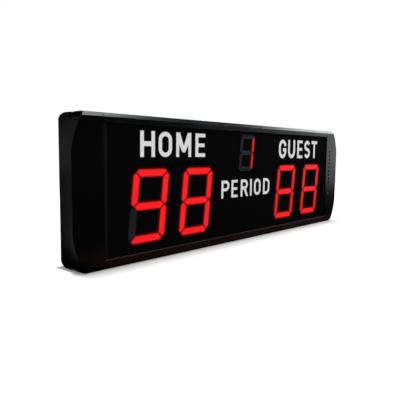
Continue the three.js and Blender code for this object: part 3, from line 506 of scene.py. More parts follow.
def glowing_bar(settings, name="lit_red_bar"):
    """Diffusing red bar with lights behind it, duller towards its rim."""
    material, tree, shader = start_finish(name)
    turns = times(tree, bar_axes(tree)["X"], 4 * math.pi)
    lamps = math_node(tree, "COSINE", turns)
    glow = add_node(tree, "ShaderNodeAttribute", attribute_name="glow").outputs["Fac"]
    rim = between(tree, glow, 0.16, 0.97, start=0.05, end=0.95)
    hot = between(tree, lamps, 1.03, 0.99, start=-1.0, end=1.0)
    cloud = noise(tree, surface_point(tree), grain=1.6 * MM, detail=3.0)
    frost = between(tree, cloud, 0.98, 1.02)
    full = settings.lit_colour
    inputs = {
        "Emission Color": blend_colours(tree, glow, scaled(full, 0.85), full),
        "Emission Strength": times(tree, rim, hot, frost),
        "Base Color": (0.06, 0.002, 0.002),
        "Roughness": 0.45,
        GLOSS: 0.2,
    }
    feed(tree, shader, inputs)
    return material


def side_bar_glow(settings):
    """The lit bar with its light nearer to its middle, for upright guest and period bars."""
    material = glowing_bar(settings, "lit_red_side_bar")
    tree, shader = material.node_tree, shader_of(material)
    off = math_node(tree, "ABSOLUTE", bar_axes(tree)["Y"])
    share = between(tree, off, settings.side_peak, settings.side_edge, start=0.2, end=0.8)
    full = shader.inputs["Emission Strength"].links[0].from_socket
    feed(tree, shader, {"Emission Strength": times(tree, full, share)})
    return material


def screen_ink(settings):
    """White screen-printed ink, a little uneven where the mesh left it thin."""
    material, tree, shader = start_finish("white_screen_ink")
    point = surface_point(tree)
    mesh_marks = noise(tree, point, grain=0.7 * MM)
    broad = noise(tree, point, grain=9 * MM, detail=3.0)
    ink = settings.ink_colour
    tone = blend_colours(tree, broad, scaled(ink, 0.96), ink)
    thin = between(tree, mesh_marks, 0.0, 0.5, start=0.62, end=0.8)
    worn = blend_colours(tree, thin, tone, scaled(ink, 0.82))
    feed(tree, shader, {"Base Color": worn, "Roughness": 0.55, GLOSS: 0.3})
    raise_surface(tree, shader, mesh_marks, 0.01 * MM)
    return material


# Shapes


def link_object(name, data):
    """An object in the scene."""
    made = bpy.data.objects.new(name, data)
    bpy.context.scene.collection.objects.link(made)
    return made


def link_piece(name, mesh, body=BOARD, stands_for=()):
    """A finished piece at the origin, riding on its body."""
    piece = link_object(name, mesh)
    if stands_for:
        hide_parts(*stands_for)
    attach(piece, body)


def finish_node(node, material):
    """Gives a frame node its finish."""
    materials = frame["nodes"][node].data.materials
    materials.clear()
    materials.append(material)


def take_mesh(holder, name):
    """The mesh that an object's curve or modifiers give, in place of the object."""
    graph = bpy.context.evaluated_depsgraph_get()
    mesh = bpy.data.meshes.new_from_object(holder.evaluated_get(graph))
    bpy.data.objects.remove(holder)
    mesh.name = name
    return mesh


def end_shape(shape, mesh, *materials):
    """Writes an edited shape to a mesh and gives it its finishes."""
    shape.to_mesh(mesh)
    shape.free()
    for material in materials:
        mesh.materials.append(material)
    return mesh


def mark_sharp_edges(shape, angle):
    """Smooth faces, with the edges past an angle left sharp."""
    for face in shape.faces:
        face.smooth = True
    for edge in shape.edges:
        edge.smooth = len(edge.link_faces) == 2 and edge.calc_face_angle(0) < angle


def link_settled(name, mesh, body, stands_for):
    """A piece whose normals keep its flat faces flat beside rounded edges."""
    holder = link_object(name + "_holder", mesh)
    weighted = holder.modifiers.new("flat_faces", "WEIGHTED_NORMAL")
    weighted.keep_sharp = True
    weighted.weight = 100
    settled = take_mesh(holder, name)
    bpy.data.meshes.remove(mesh)
    link_piece(name, settled, body, stands_for)


def widen_rear_round(shape):
    """Stretches the round rear edges of the case into the deeper curve that the photo shows."""
    for corner in shape.verts:
        place = corner.co
        upper = place.z > cad_high.z / 2
        behind = cad_high.y - place.y
        outer = cad_high.z - place.z if upper else place.z
        if behind > REAR_FADE or outer > REAR_LIP:
            continue
        near = min(1.0, (REAR_FADE - behind) / (REAR_FADE - REAR_RADIUS))
        if outer < REAR_RADIUS:
            across = REAR_RADIUS - math.sqrt(REAR_RADIUS**2 - (REAR_RADIUS - outer) ** 2)
            rise = outer / REAR_RADIUS
        else:
            across = 0.0
            rise = (REAR_LIP - outer) / (REAR_LIP - REAR_RADIUS)
        rise *= (REAR_HEIGHT - REAR_RADIUS) * near
        place.y -= across * (REAR_DEPTH / REAR_RADIUS - 1) * near
        place.z += -rise if upper else rise


def beside_pin(edge, pin):
    """Whether an edge lies round the bore of a pin, given by its middle, reach and half length."""
    if pin is None:
        return False
    middle, reach, half_length = pin
    off = (edge.verts[0].co + edge.verts[1].co) / 2 - middle
    return math.hypot(off.y, off.z) < reach and abs(off.x) < half_length


def rounded_node(node, name, material, radius, body=BOARD, pin=None, reshape=None):
    """A copy of a frame node with rounded edges, but those round the bore of a pin."""
    shape = bmesh.new()
    shape.from_mesh(frame["nodes"][node].data)
    bmesh.ops.remove_doubles(shape, verts=shape.verts, dist=WELD)
    bmesh.ops.dissolve_limit(shape, angle_limit=FLAT_ANGLE, verts=shape.verts, edges=shape.edges)
    if reshape:
        reshape(shape)
    sharp = [
        edge
        for edge in shape.edges
        if len(edge.link_faces) == 2
        and edge.calc_face_angle(0) > BEVEL_ANGLE
        and not beside_pin(edge, pin)
    ]
    bmesh.ops.bevel(
        shape,
        geom=sharp,
        offset=radius,
        offset_type="OFFSET",
        segments=2,
        profile=0.5,
        affect="EDGES",
        clamp_overlap=True,
        miter_outer="ARC",
    )
    mark_sharp_edges(shape, CASE_ANGLE)
    mesh = end_shape(shape, bpy.data.meshes.new(name + "_raw"), material)
    link_settled(name, mesh, body, (node,))


# Digits


def clip_outline(outline, start, outwards):
    """The part of a convex outline on the inner side of a line."""

    def height(point):
        return (point[0] - start[0]) * outwards[0] + (point[1] - start[1]) * outwards[1]

    kept = []
    for index, point in enumerate(outline):
        following = outline[(index + 1) % len(outline)]
        here, there = height(point), height(following)
        if here <= 0:
            kept.append(point)
        if here * there < 0:
            share = here / (here - there)
            kept.append(tuple(a + (b - a) * share for a, b in zip(point, following)))
    return kept


def box_outline(width, height, middle_x=0.0, middle_z=0.0):
    """A rectangle round a middle, counter-clockwise."""
    return [
        (middle_x + side * width / 2, middle_z + rise * height / 2)
        for side, rise in ((-1, -1), (1, -1), (1, 1), (-1, 1))
    ]


def flipped(outline, sign_x, sign_z):
    """An outline mirrored in one or both axes, with the same winding."""
    points = [(sign_x * x, sign_z * z) for x, z in outline]
    return points[::-1] if sign_x * sign_z < 0 else points


def bar_outlines(settings, scale):
    """The seven bars of a digit, from the top one clockwise, the middle one last."""
    right = settings.digit_width * scale / 2
    top = settings.digit_height * scale / 2
    wide = settings.bar_width * scale
    high = settings.bar_height * scale
    corner = settings.bar_corner * scale
    gap = settings.bar_gap / 2
    notch = settings.bar_notch * scale
    mitre = math.hypot(wide, high)
    across = (high / mitre, -wide / mitre)
    start = (right - wide, top - high)
    corner_point = (right - corner / 2, top - corner / 2)
    tip = gap * DIAGONAL

    top_bar = box_outline(2 * right, high, 0.0, top - high / 2)
    for side in (1, -1):
        inset = (side * (start[0] - gap * across[0]), start[1] - gap * across[1])
        top_bar = clip_outline(top_bar, inset, (side * across[0], across[1]))
        cut = (side * corner_point[0], corner_point[1])
        top_bar = clip_outline(top_bar, cut, (side * DIAGONAL, DIAGONAL))
    side_bar = box_outline(wide, top - gap, right - wide / 2, (top + gap) / 2)
    side_start = (start[0] + gap * across[0], start[1] + gap * across[1])
    for point, outwards in (
        (side_start, (-across[0], -across[1])),
        (corner_point, (DIAGONAL, DIAGONAL)),
        ((right - wide / 2 + tip, tip), (-DIAGONAL, -DIAGONAL)),
        ((right, gap + notch), (DIAGONAL, -DIAGONAL)),
    ):
        side_bar = clip_outline(side_bar, point, outwards)
    middle_bar = box_outline(2 * right - wide, high)
    for side in (1, -1):
        end = (side * (right - wide / 2 - tip), 0.0)
        for rise in (DIAGONAL, -DIAGONAL):
            middle_bar = clip_outline(middle_bar, end, (side * DIAGONAL, rise))
    return [
        top_bar,
        side_bar,
        flipped(side_bar, 1, -1),
        flipped(top_bar, 1, -1),
        flipped(side_bar, -1, -1),
        flipped(side_bar, -1, 1),
        middle_bar,
    ]


def middle_and_half(values):
    """The middle and half the length of a row of numbers."""
    return (min(values) + max(values)) / 2, (max(values) - min(values)) / 2


def add_bar(shape, outline, settings, middle, front, back):
    """One bar with an eased front edge, its run as UV and its glow from rim to middle."""
    runs = shape.loops.layers.uv["bar_run"]
    glow = shape.verts.layers.float["glow"]
    (centre_x, half_x), (centre_z, half_z) = (middle_and_half(axis) for axis in zip(*outline))
    upright = half_z > half_x

    def corners_at(depth):
        return [
            shape.verts.new((middle.x + x + z * settings.digit_slant, depth, middle.y + z))
            for x, z in outline
        ]

    rim, rear = corners_at(front + settings.bar_rounding), corners_at(back)
    face = shape.faces.new(rim)
    made = [face, shape.faces.new(rear[::-1])]
    for index in range(len(rim)):
        following = (index + 1) % len(rim)
        made.append(shape.faces.new((rim[following], rim[index], rear[index], rear[following])))
    for width, light in ((settings.bar_rounding, 0.25), (settings.bar_rim, 1.0)):
        ring = bmesh.ops.inset_region(shape, faces=[face], thickness=width, use_even_offset=True)
        made += ring["faces"]
        for corner in face.verts:
            corner.co.y = front
            corner[glow] = light
    for part in made:
        part.material_index = int(upright)
        for loop in part.loops:
            z = loop.vert.co.z - middle.y
            x = loop.vert.co.x - middle.x - z * settings.digit_slant
            place = ((x - centre_x) / half_x, (z - centre_z) / half_z)
            loop[runs].uv = place[::-1] if upright else place


def digit_middle(node):
    """The middle of a digit in the plane of the front."""
    low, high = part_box(node)
    return Vector(((low.x + high.x) / 2, (low.z + high.z) / 2))


def spill_light(digit, outlines, settings):
    """A module's matte face, with the red light that its lit bars cast round them."""
    material = mottled_finish(
        digit + "_module_face",
        bpy.context.scene.scoreboard_case.panel_colour,
        roughness=0.7,
        grain=0.4 * MM,
        relief=0.004 * MM,
        looks={**MATTE, "Emission Color": (1.0, 0.0, 0.0)},
    )
    tree = material.node_tree
    middle = digit_middle(digit + "_diffuser")
    axes = object_axes(tree)
    rise = minus(tree, axes["Z"], middle.y)
    lean = times(tree, rise, settings.digit_slant)
    run = minus(tree, axes["X"], middle.x, lean)
    nearest = settings.spill_reach**2
    for outline in outlines:
        squares = []
        for place, values in zip((run, rise), zip(*outline)):
            centre, half = middle_and_half(values)
            if half > settings.bar_width:
                half -= settings.bar_corner / 2
            off = math_node(tree, "ABSOLUTE", minus(tree, place, centre))
            past = math_node(tree, "MAXIMUM", minus(tree, off, half), 0.0)
            squares.append(times(tree, past, past))
        nearest = math_node(tree, "MINIMUM", plus(tree, *squares), nearest)
    distance = math_node(tree, "SQRT", nearest)
    share = between(tree, distance, 1.0, 0.0, start=0.0, end=settings.spill_reach)
    faded = math_node(tree, "POWER", share, SPILL_POWER)
    strength = times(tree, faded, settings.spill_strength)
    feed(tree, shader_of(material), {"Emission Strength": strength})
    finish_node(digit + "_housing", material)


def make_bars(name, outlines, settings, node, finishes, stands_for=()):
    """The lit or the unlit bars of one digit, with the finishes of level and upright bars."""
    low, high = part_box(node)
    shape = bmesh.new()
    shape.loops.layers.uv.new("bar_run")
    shape.verts.layers.float.new("glow")
    for outline in outlines:
        add_bar(shape, outline, settings, digit_middle(node), low.y, high.y)
    bmesh.ops.recalc_face_normals(shape, faces=shape.faces)
    mark_sharp_edges(shape, BAR_ANGLE)
    mesh = end_shape(shape, bpy.data.meshes.new(name + "_raw"), *finishes)
    link_settled(name, mesh, BOARD, stands_for)


# Words


def quarter(middle_x, middle_z, radius_x, radius_z, start, end, steps=8):
    """Part of an ellipse, from one angle in degrees to another."""
    angles = [math.radians(start + (end - start) * index / steps) for index in range(steps + 1)]
    return [
        (middle_x + radius_x * math.cos(angle), middle_z + radius_z * math.sin(angle))
        for angle in angles
    ]


def rounded_loop(left, right, bottom, top, radius_x, radius_z):
    """A closed outline with elliptical corners."""
    return [
        *quarter(right - radius_x, top - radius_z, radius_x, radius_z, 0, 90),
        *quarter(left + radius_x, top - radius_z, radius_x, radius_z, 90, 180),
        *quarter(left + radius_x, bottom + radius_z, radius_x, radius_z, 180, 270),
        *quarter(right - radius_x, bottom + radius_z, radius_x, radius_z, 270, 360),
    ]


def stroke(path, width):
    """The outline of a pen stroke along an open path, with square ends."""
    path = [Vector(point) for point in path]
    kept = [path[0]]
    for point in path[1:]:
        if (point - kept[-1]).length > width * STEP_SHARE:
            kept.append(point)
    left, right = [], []
    for index, point in enumerate(kept):
        before = kept[index] - kept[index - 1] if index else kept[1] - kept[0]
        after = kept[index + 1] - kept[index] if index + 1 < len(kept) else before
        before, after = before.normalized(), after.normalized()
        bisector = (before + after).normalized()
        normal = Vector((-bisector.y, bisector.x))
        reach = width / 2 / max(BLUNT_SHARE, normal.dot(Vector((-before.y, before.x))))
        left.append(tuple(point + normal * reach))
        right.append(tuple(point - normal * reach))
    return left + right[::-1]


def pen_rounds(w, s, radius, turns):
    """A path of rounds as wide as a letter, each with its middle's height and its angles."""
    path = []
    for height, *angles in turns:
        path += quarter(w / 2, height, w / 2 - s / 2, radius, *angles)
    return path


def bowl(right, bottom, top, radius_x, radius_z, start=-90):
    """The round right side of a letter, from its lower to its upper corner."""
    return [
        *quarter(right - radius_x, bottom + radius_z, radius_x, radius_z, start, 0),
        *quarter(right - radius_x, top - radius_z, radius_x, radius_z, 0, 90),
    ]


def bowl_on_foot(w, h, s, low, right, foot, start=-90):
    """The outer and the inner outline of a letter whose bowl ends above its foot."""
    radius_z = (h - low) / 2
    radius_x = min(0.55 * right, radius_z * 1.05)
    inner_x, inner_z = max(radius_x - s, 0.15 * w), radius_z - s * 0.92
    inner_low, inner_high = low + radius_z - inner_z, h - radius_z + inner_z
    hole = bowl(right - s, inner_low, inner_high, inner_x, inner_z)
    return [
        [(0, 0), (s, 0), *foot, *bowl(right, low, h, radius_x, radius_z, start), (0, h)],
        [(s, inner_low), *hole, (s, inner_high)],
    ]


# Each letter's outlines from its width, its height and its stroke


def letter_h(w, h, s):
    low, high = 0.51 * h - s / 2, 0.51 * h + s / 2
    return [
        [(0, 0), (s, 0), (s, low), (w - s, low), (w - s, 0), (w, 0)]
        + [(w, h), (w - s, h), (w - s, high), (s, high), (s, h), (0, h)]
    ]


def letter_o(w, h, s):
    radius_x, radius_z, arm = w / 2, 0.33 * h, s * 0.94
    return [
        rounded_loop(0, w, 0, h, radius_x, radius_z),
        rounded_loop(s, w - s, arm, h - arm, radius_x - s, radius_z - arm),
    ]


def letter_m(w, h, s):
    stem = s * 0.92
    return [
        [(0, 0), (stem, 0), (stem, 0.52 * h), (0.41 * w, 0.19 * h), (0.59 * w, 0.19 * h)]
        + [(w - stem, 0.52 * h), (w - stem, 0), (w, 0), (w, h), (0.76 * w, h)]
        + [(0.5 * w, 0.45 * h), (0.24 * w, h), (0, h)]
    ]


def letter_e(w, h, s):
    arm = s * 0.84
    low, high = (h - arm) / 2, (h + arm) / 2
    return [
        [(0, 0), (w, 0), (w, arm), (s, arm), (s, low), (0.93 * w, low)]
        + [(0.93 * w, high), (s, high), (s, h - arm), (w, h - arm), (w, h), (0, h)]
    ]


def letter_g(w, h, s):
    radius, bar = 0.31 * h, 0.455 * h
    upper, lower = h - s / 2 - radius, s / 2 + radius
    turns = ((upper, 12, 90), (upper, 90, 180), (lower, 180, 270), (lower, 270, 360))
    return [stroke([*pen_rounds(w, s, radius, turns), (w - s / 2, bar), (0.56 * w, bar)], s)]


def letter_u(w, h, s):
    radius = 0.31 * h
    lower = s / 2 + radius
    turns = ((lower, 180, 270), (lower, 270, 360))
    return [stroke([(s / 2, h), *pen_rounds(w, s, radius, turns), (w - s / 2, h)], s)]


def letter_s(w, h, s):
    radius = (h / 2 - s / 2) / 2
    upper, lower = h - s / 2 - radius, s / 2 + radius
    turns = ((upper, 22, 180, 12), (upper, 180, 255), (lower, 75, 0), (lower, 0, -158, 12))
    return [stroke(pen_rounds(w, s, radius, turns), s)]


def letter_t(w, h, s):
    left, right, arm = (w - s) / 2, (w + s) / 2, h - s * 0.94
    return [[(left, 0), (right, 0), (right, arm), (w, arm), (w, h), (0, h), (0, arm), (left, arm)]]


def letter_p(w, h, s):
    low = 0.4 * h
    return bowl_on_foot(w, h, s, low, w, [(s, low)])


def letter_r(w, h, s):
    low, fork = 0.43 * h, 0.41 * h
    foot = [(s, fork), (0.42 * w, fork), (w - s * 1.08, 0), (w, 0), (0.68 * w, low + 0.025 * h)]
    return bowl_on_foot(w, h, s, low, 0.94 * w, foot, start=-50)


def letter_i(w, h, s):
    return [[(0, 0), (w, 0), (w, h), (0, h)]]


def letter_d(w, h, s):
    radius_x, radius_z, arm = 0.62 * w, 0.31 * h, s * 0.94
    return [
        [(0, 0), *bowl(w, 0, h, radius_x, radius_z), (0, h)],
        [(s, arm), *bowl(w - s, arm, h - arm, radius_x - s, radius_z - arm), (s, h - arm)],
    ]


LETTERS = {
    "H": letter_h,
    "O": letter_o,
    "M": letter_m,
    "E": letter_e,
    "G": letter_g,
    "U": letter_u,
    "S": letter_s,
    "T": letter_t,
    "P": letter_p,
    "R": letter_r,
    "I": letter_i,
    "D": letter_d,
}

# Each word: letters with their left and right edges, lower and upper edge, stroke, in millimetres
WORDS = {
    "home_word": (
        (("H", -178.2, -157.9), ("O", -152.7, -132.8), ("M", -126.3, -102.3), ("E", -95.2, -78.2)),
        (108.25, 135.0),
        5.0,
    ),
    "guest_word": (
        (("G", 81.9, 101.6), ("U", 106.7, 126.3), ("E", 133.0, 148.4), ("S", 154.0, 171.5))
        + (("T", 176.3, 194.2),),
        (106.0, 132.7),
        4.9,
    ),
    "period_word": (
        (("P", -46.8, -31.1), ("E", -26.8, -13.9), ("R", -7.3, 9.1), ("I", 13.4, 17.2))
        + (("O", 22.4, 37.8), ("D", 43.9, 59.4)),
        (56.9, 79.0),
        3.9,
    ),
}


def flat_print(name, loops, place, thickness, material, body=BOARD):
    """A thin printed layer from closed outlines, laid on a face by its place."""
    curve = bpy.data.curves.new(name, "CURVE")
    curve.dimensions = "2D"
    curve.fill_mode = "BOTH"
    curve.extrude = thickness / 2
    for loop in loops:
        spline = curve.splines.new("POLY")
        spline.points.add(len(loop) - 1)
        for point, (x, z) in zip(spline.points, loop):
            point.co = (x, z, 0.0, 1.0)
        spline.use_cyclic_u = True
    mesh = take_mesh(link_object(name + "_curve", curve), name)
    mesh.transform(place)
    mesh.materials.clear()
    shape = bmesh.new()
    shape.from_mesh(mesh)
    bmesh.ops.remove_doubles(shape, verts=shape.verts, dist=PRINT_WELD)
    bmesh.ops.recalc_face_normals(shape, faces=shape.faces)
    link_piece(name, end_shape(shape, mesh, material), body)


# Screws and threads, grown by Geometry Nodes


def start_group(name, values):
    """An empty tree that works on points, and its named inputs with their defaults."""
    tree = bpy.data.node_groups.new(name, "GeometryNodeTree")
    tree.is_modifier = True
    face = tree.interface
    face.new_socket("Geometry", in_out="INPUT", socket_type="NodeSocketGeometry")
    for label, default in values.items():
        socket = face.new_socket(label, in_out="INPUT", socket_type="NodeSocketFloat")
        socket.default_value = default
    face.new_socket("Geometry", in_out="OUTPUT", socket_type="NodeSocketGeometry")
    return tree, add_node(tree, "NodeGroupInput").outputs


def end_group(tree, given, shape, material, turn=None):
    """Sets a shape on every point, makes it real and gives it its finish."""
    inputs = {"Points": given["Geometry"], "Instance": shape, **(turn or {})}
    placed = add_node(tree, "GeometryNodeInstanceOnPoints", inputs).outputs["Instances"]
    real = add_node(tree, "GeometryNodeRealizeInstances", {"Geometry": placed}).outputs["Geometry"]
    inputs = {"Geometry": real, "Material": material}
    painted = add_node(tree, "GeometryNodeSetMaterial", inputs).outputs["Geometry"]
    add_node(tree, "NodeGroupOutput", {"Geometry": painted})
    return tree


def vector_node(tree, **axes):
    """A vector from its X, Y and Z."""
    return add_node(tree, "ShaderNodeCombineXYZ", axes).outputs["Vector"]


def lifted(tree, shape, height):
    """A shape moved up."""
    inputs = {"Geometry": shape, "Translation": vector_node(tree, Z=height)}
    return add_node(tree, "GeometryNodeTransform", inputs).outputs["Geometry"]


def joined(tree, shapes):
    """Several shapes as one."""
    join = add_node(tree, "GeometryNodeJoinGeometry")
    for shape in shapes:
        feed(tree, join, {"Geometry": shape})
    return join.outputs["Geometry"]


def screw_head(tree, given):
    """A pan head with a cross recess, standing on the ground."""
    height = given["Head Height"]
    radius = times(tree, given["Head Diameter"], 0.5)
    inputs = {
        "Vertices": 28,
        "Side Segments": 3,
        "Fill Segments": 3,
        "Radius": radius,
        "Depth": height,
    }
    blank = add_node(tree, "GeometryNodeMeshCylinder", inputs, fill_type="TRIANGLE_FAN")
    point = add_node(tree, "GeometryNodeInputPosition").outputs["Position"]
    axes = add_node(tree, "ShaderNodeSeparateXYZ", {"Vector": point}).outputs
    rise = plus(tree, math_node(tree, "DIVIDE", axes["Z"], height), 0.5)
    rise = math_node(tree, "MAXIMUM", rise, 0.0)
    squared = times(tree, rise, rise)
    taper = times(tree, squared, HEAD_TAPER)
    across = math_node(tree, "SQRT", minus(tree, 1.0, taper))
    outwards = math_node(tree, "DIVIDE", root_of_squares(tree, (axes["X"], axes["Y"])), radius)
    fall = times(tree, height, -HEAD_CROWN)
    crown = times(tree, outwards, outwards, squared, fall)
    moved = vector_node(
        tree,
        X=times(tree, axes["X"], across),
        Y=times(tree, axes["Y"], across),
        Z=plus(tree, axes["Z"], crown),
    )
    inputs = {"Geometry": blank.outputs["Mesh"], "Position": moved}
    domed = add_node(tree, "GeometryNodeSetPosition", inputs).outputs["Geometry"]
    slots = []
    for x, y in (("Recess Length", "Recess Width"), ("Recess Width", "Recess Length")):
        size = vector_node(tree, X=given[x], Y=given[y], Z=height)
        slots.append(add_node(tree, "GeometryNodeMeshCube", {"Size": size}).outputs["Mesh"])
    inputs = {
        "Mesh 1": lifted(tree, domed, times(tree, height, 0.5)),
        "Mesh 2": lifted(tree, joined(tree, slots), height),
    }
    cut = {"operation": "DIFFERENCE", "solver": "EXACT"}
    return add_node(tree, "GeometryNodeMeshBoolean", inputs, **cut).outputs["Mesh"]


def screw_tree(material):
    """Pan head screws, each turned its own way and set on a point facing the back."""
    values = {
        "Head Diameter": 5.6 * MM,
        "Head Height": 1.8 * MM,
        "Shank Diameter": 2.9 * MM,
        "Shank Length": 4.0 * MM,
        "Recess Width": 0.75 * MM,
        "Recess Length": 3.2 * MM,
    }
    tree, given = start_group("pan_head_screws", values)
    head = screw_head(tree, given)
    inputs = {
        "Vertices": 20,
        "Radius": times(tree, given["Shank Diameter"], 0.5),
        "Depth": given["Shank Length"],
    }
    shank = add_node(tree, "GeometryNodeMeshCylinder", inputs).outputs["Mesh"]
    hung = lifted(tree, shank, times(tree, given["Shank Length"], -0.5))
    inputs = {"Min": (0.0, 0.0, 0.0), "Max": (0.0, 0.0, math.pi / 2), "Seed": 7}
    turns = add_node(tree, "FunctionNodeRandomValue", inputs, data_type="FLOAT_VECTOR")
    inputs = {"Rotation": (-math.pi / 2, 0.0, 0.0), "Rotate By": turns.outputs["Value"]}
    faced = add_node(tree, "FunctionNodeRotateEuler", inputs, space="LOCAL")
    turn = {"Rotation": faced.outputs["Rotation"]}
    return end_group(tree, given, joined(tree, (head, hung)), material, turn)


def thread_tree(material):
    """The ridge of an inside thread, set on points."""
    values = {
        "Thread Diameter": 4.0 * MM,
        "Pitch": 0.7 * MM,
        "Thread Length": 4.0 * MM,
        "Thread Depth": 0.35 * MM,
    }
    tree, given = start_group("inside_thread", values)
    radius = times(tree, given["Thread Diameter"], 0.5)
    inputs = {
        "Resolution": 28,
        "Rotations": math_node(tree, "DIVIDE", given["Thread Length"], given["Pitch"]),
        "Start Radius": radius,
        "End Radius": radius,
        "Height": given["Thread Length"],
    }
    run = add_node(tree, "GeometryNodeCurveSpiral", inputs).outputs["Curve"]
    upright = add_node(tree, "GeometryNodeSetCurveNormal", {"Curve": run}, mode="Z_UP")
    inputs = {"Resolution": 4, "Radius": given["Thread Depth"]}
    profile = add_node(tree, "GeometryNodeCurvePrimitiveCircle", inputs).outputs["Curve"]
    inputs = {"Curve": upright.outputs["Curve"], "Profile Curve": profile, "Fill Caps": True}
    ridge = add_node(tree, "GeometryNodeCurveToMesh", inputs).outputs["Mesh"]
    return end_group(tree, given, ridge, material)


def grow_from_points(name, points, tree, values, body=BOARD):
    """A plain mesh of zinc plated pieces from a Geometry Nodes tree run on points."""
    seeds = bpy.data.meshes.new(name + "_points")
    seeds.from_pydata(points, [], [])
    holder = link_object(name + "_holder", seeds)
    modifier = holder.modifiers.new("grown", "NODES")
    modifier.node_group = tree
    for item in tree.interface.items_tree:
        if item.in_out == "INPUT" and item.name in values:
            modifier[item.identifier] = values[item.name]
    mesh = take_mesh(holder, name)
    if not mesh.polygons:
        raise RuntimeError(name + " came out empty")
    shape = bmesh.new()
    shape.from_mesh(mesh)
    mark_sharp_edges(shape, BEVEL_ANGLE)
    link_piece(name, end_shape(shape, mesh), body)


# Settings


def colour_setting(name, description, default):
    """A colour that can be set."""
    limits = {"subtype": "COLOR", "size": 3, "min": 0, "max": 1}
    return bpy.props.FloatVectorProperty(
        name=name, description=description, default=default, **limits
    )


def length_setting(name, description, default, **limits):
    """A length that can be set."""
    return bpy.props.FloatProperty(
        name=name, description=description, default=default, unit="LENGTH", **limits
    )


def share_setting(name, description, default, **more):
    """A number from zero to one that can be set."""
    return bpy.props.FloatProperty(
        name=name, description=description, default=default, min=0, max=1, **more
    )


def score_setting(name, description, default):
    """The digits that a display shows."""
    return bpy.props.StringProperty(
        name=name, description=description, default=default, maxlen=len(default)
    )


def power_setting(name, description, default):
    """The power of a lamp."""
    return bpy.props.FloatProperty(
        name=name, description=description, default=default, unit="POWER"
    )


class ScoreboardCase(bpy.types.PropertyGroup):
    """Sizes and colours of the case."""

    rail_colour: colour_setting("Rail Colour", "Colour of the anodised rails", (0.072, 0.079, 0.08))
    rail_roughness: share_setting("Rail Roughness", "How dull the anodised rails are", 0.26)
    cap_colour: colour_setting(
        "End Cap Colour", "Colour of the moulded end caps", (0.001, 0.001, 0.0011)
    )
    cap_roughness: share_setting("End Cap Roughness", "How dull the moulded end caps are", 0.22)
    cap_gloss: share_setting(
        "End Cap Gloss", "How strongly the moulded end caps mirror their surroundings", 0.5
    )
    # Colour of the highlight line that is painted along the inner edge of the bottom rail's front
    # lip
    lip_highlight_colour: colour_setting(
        "Lip Edge Colour",
        "Colour of the rubbed inner edge of the bottom rail's front lip",
        (0.05, 0.05, 0.05),
    )
    panel_colour: colour_setting(
        "Front Colour",
        "Colour of the front sheet and the faces of the digit modules",
        (0.0023, 0.0021, 0.0022),
    )
    panel_roughness: share_setting("Front Roughness", "How dull the front sheet is", 0.6)
    back_colour: colour_setting(
        "Back Colour", "Colour of the powder coated back panel", (0.03, 0.031, 0.033)
    )
    hole_ring: length_setting(
        "Sound Hole Ring", "Radius of the matte ring round each sound hole", 2.1 * MM
    )
    seal_colour: colour_setting(
        "Seal Colour", "Colour of the seal strips beside the end caps", (0.0035, 0.0035, 0.0035)
    )
    seal_width: length_setting("Seal Width", "Width of the seal strips", 4.6 * MM)
    edge_radius: length_setting(
        "Edge Radius",
        "Radius that takes the sharpness off the edges of the case",
        0.4 * MM,
        min=0.1 * MM,
        max=0.8 * MM,
    )


class ScoreboardDigits(bpy.types.PropertyGroup):
    """Score, sizes and colours of the digits."""

    home_score: score_setting("Home", "Two digits of the home side", "98")
    guest_score: score_setting("Guest", "Two digits of the guest side", "88")
    period: score_setting("Period", "Digit of the period", "1")
    lit_colour: colour_setting(
        "Lit Colour", "Colour of a bar with its light on", (1.0, 0.008, 0.011)
    )
    spill_reach: length_setting(
        "Spill Reach", "How far the light of a lit bar shows on the face beside it", 3.4 * MM
    )
    spill_strength: share_setting(
        "Spill Strength", "Brightness of that light at the edge of the bar", 0.06
    )
    side_peak: share_setting(
        "Side Bar Peak",
        "Share of the light in the middle of an upright guest or period bar",
        0.86,
    )
    side_edge: share_setting(
        "Side Bar Edge",
        "Share of the light towards the edges of an upright guest or period bar",
        0.27,
    )
    unlit_colour: colour_setting(
        "Unlit Colour", "Colour of a bar with its light off", (0.015, 0.0155, 0.0195)
    )
    digit_height: length_setting("Digit Height", "Height of a score digit", 76.2 * MM)
    digit_width: length_setting("Digit Width", "Width of a score digit", 50.3 * MM)
    bar_width: length_setting("Upright Bar Width", "Width of an upright bar", 8.9 * MM)
    bar_height: length_setting("Level Bar Height", "Height of a level bar", 8 * MM)
    bar_gap: length_setting("Bar Gap", "Gap between neighbouring bars", 0.8 * MM)
    bar_corner: length_setting("Corner", "How much the outer corners of a digit are cut", 6.4 * MM)
    bar_notch: length_setting("Notch", "How much the waist of a digit is cut", 3 * MM)
    bar_rounding: length_setting(
        "Bar Rounding", "Width of the eased front edge of a bar", 0.35 * MM
    )
    bar_rim: length_setting(
        "Bar Rim", "Width over which a lit bar gets duller towards its edge", 1.9 * MM
    )
    digit_slant: bpy.props.FloatProperty(
        name="Slant",
        description="How far a digit leans for each unit of its height",
        default=0.114,
    )
    period_share: share_setting(
        "Period Size", "Size of the period digit beside a score digit", 0.6, subtype="FACTOR"
    )


class ScoreboardPrint(bpy.types.PropertyGroup):
    """Ink of the words."""

    ink_colour: colour_setting("Ink Colour", "Colour of the printed words", (0.84, 0.84, 0.845))
    ink_thickness: length_setting("Ink Thickness", "Thickness of the printed layer", 0.05 * MM)


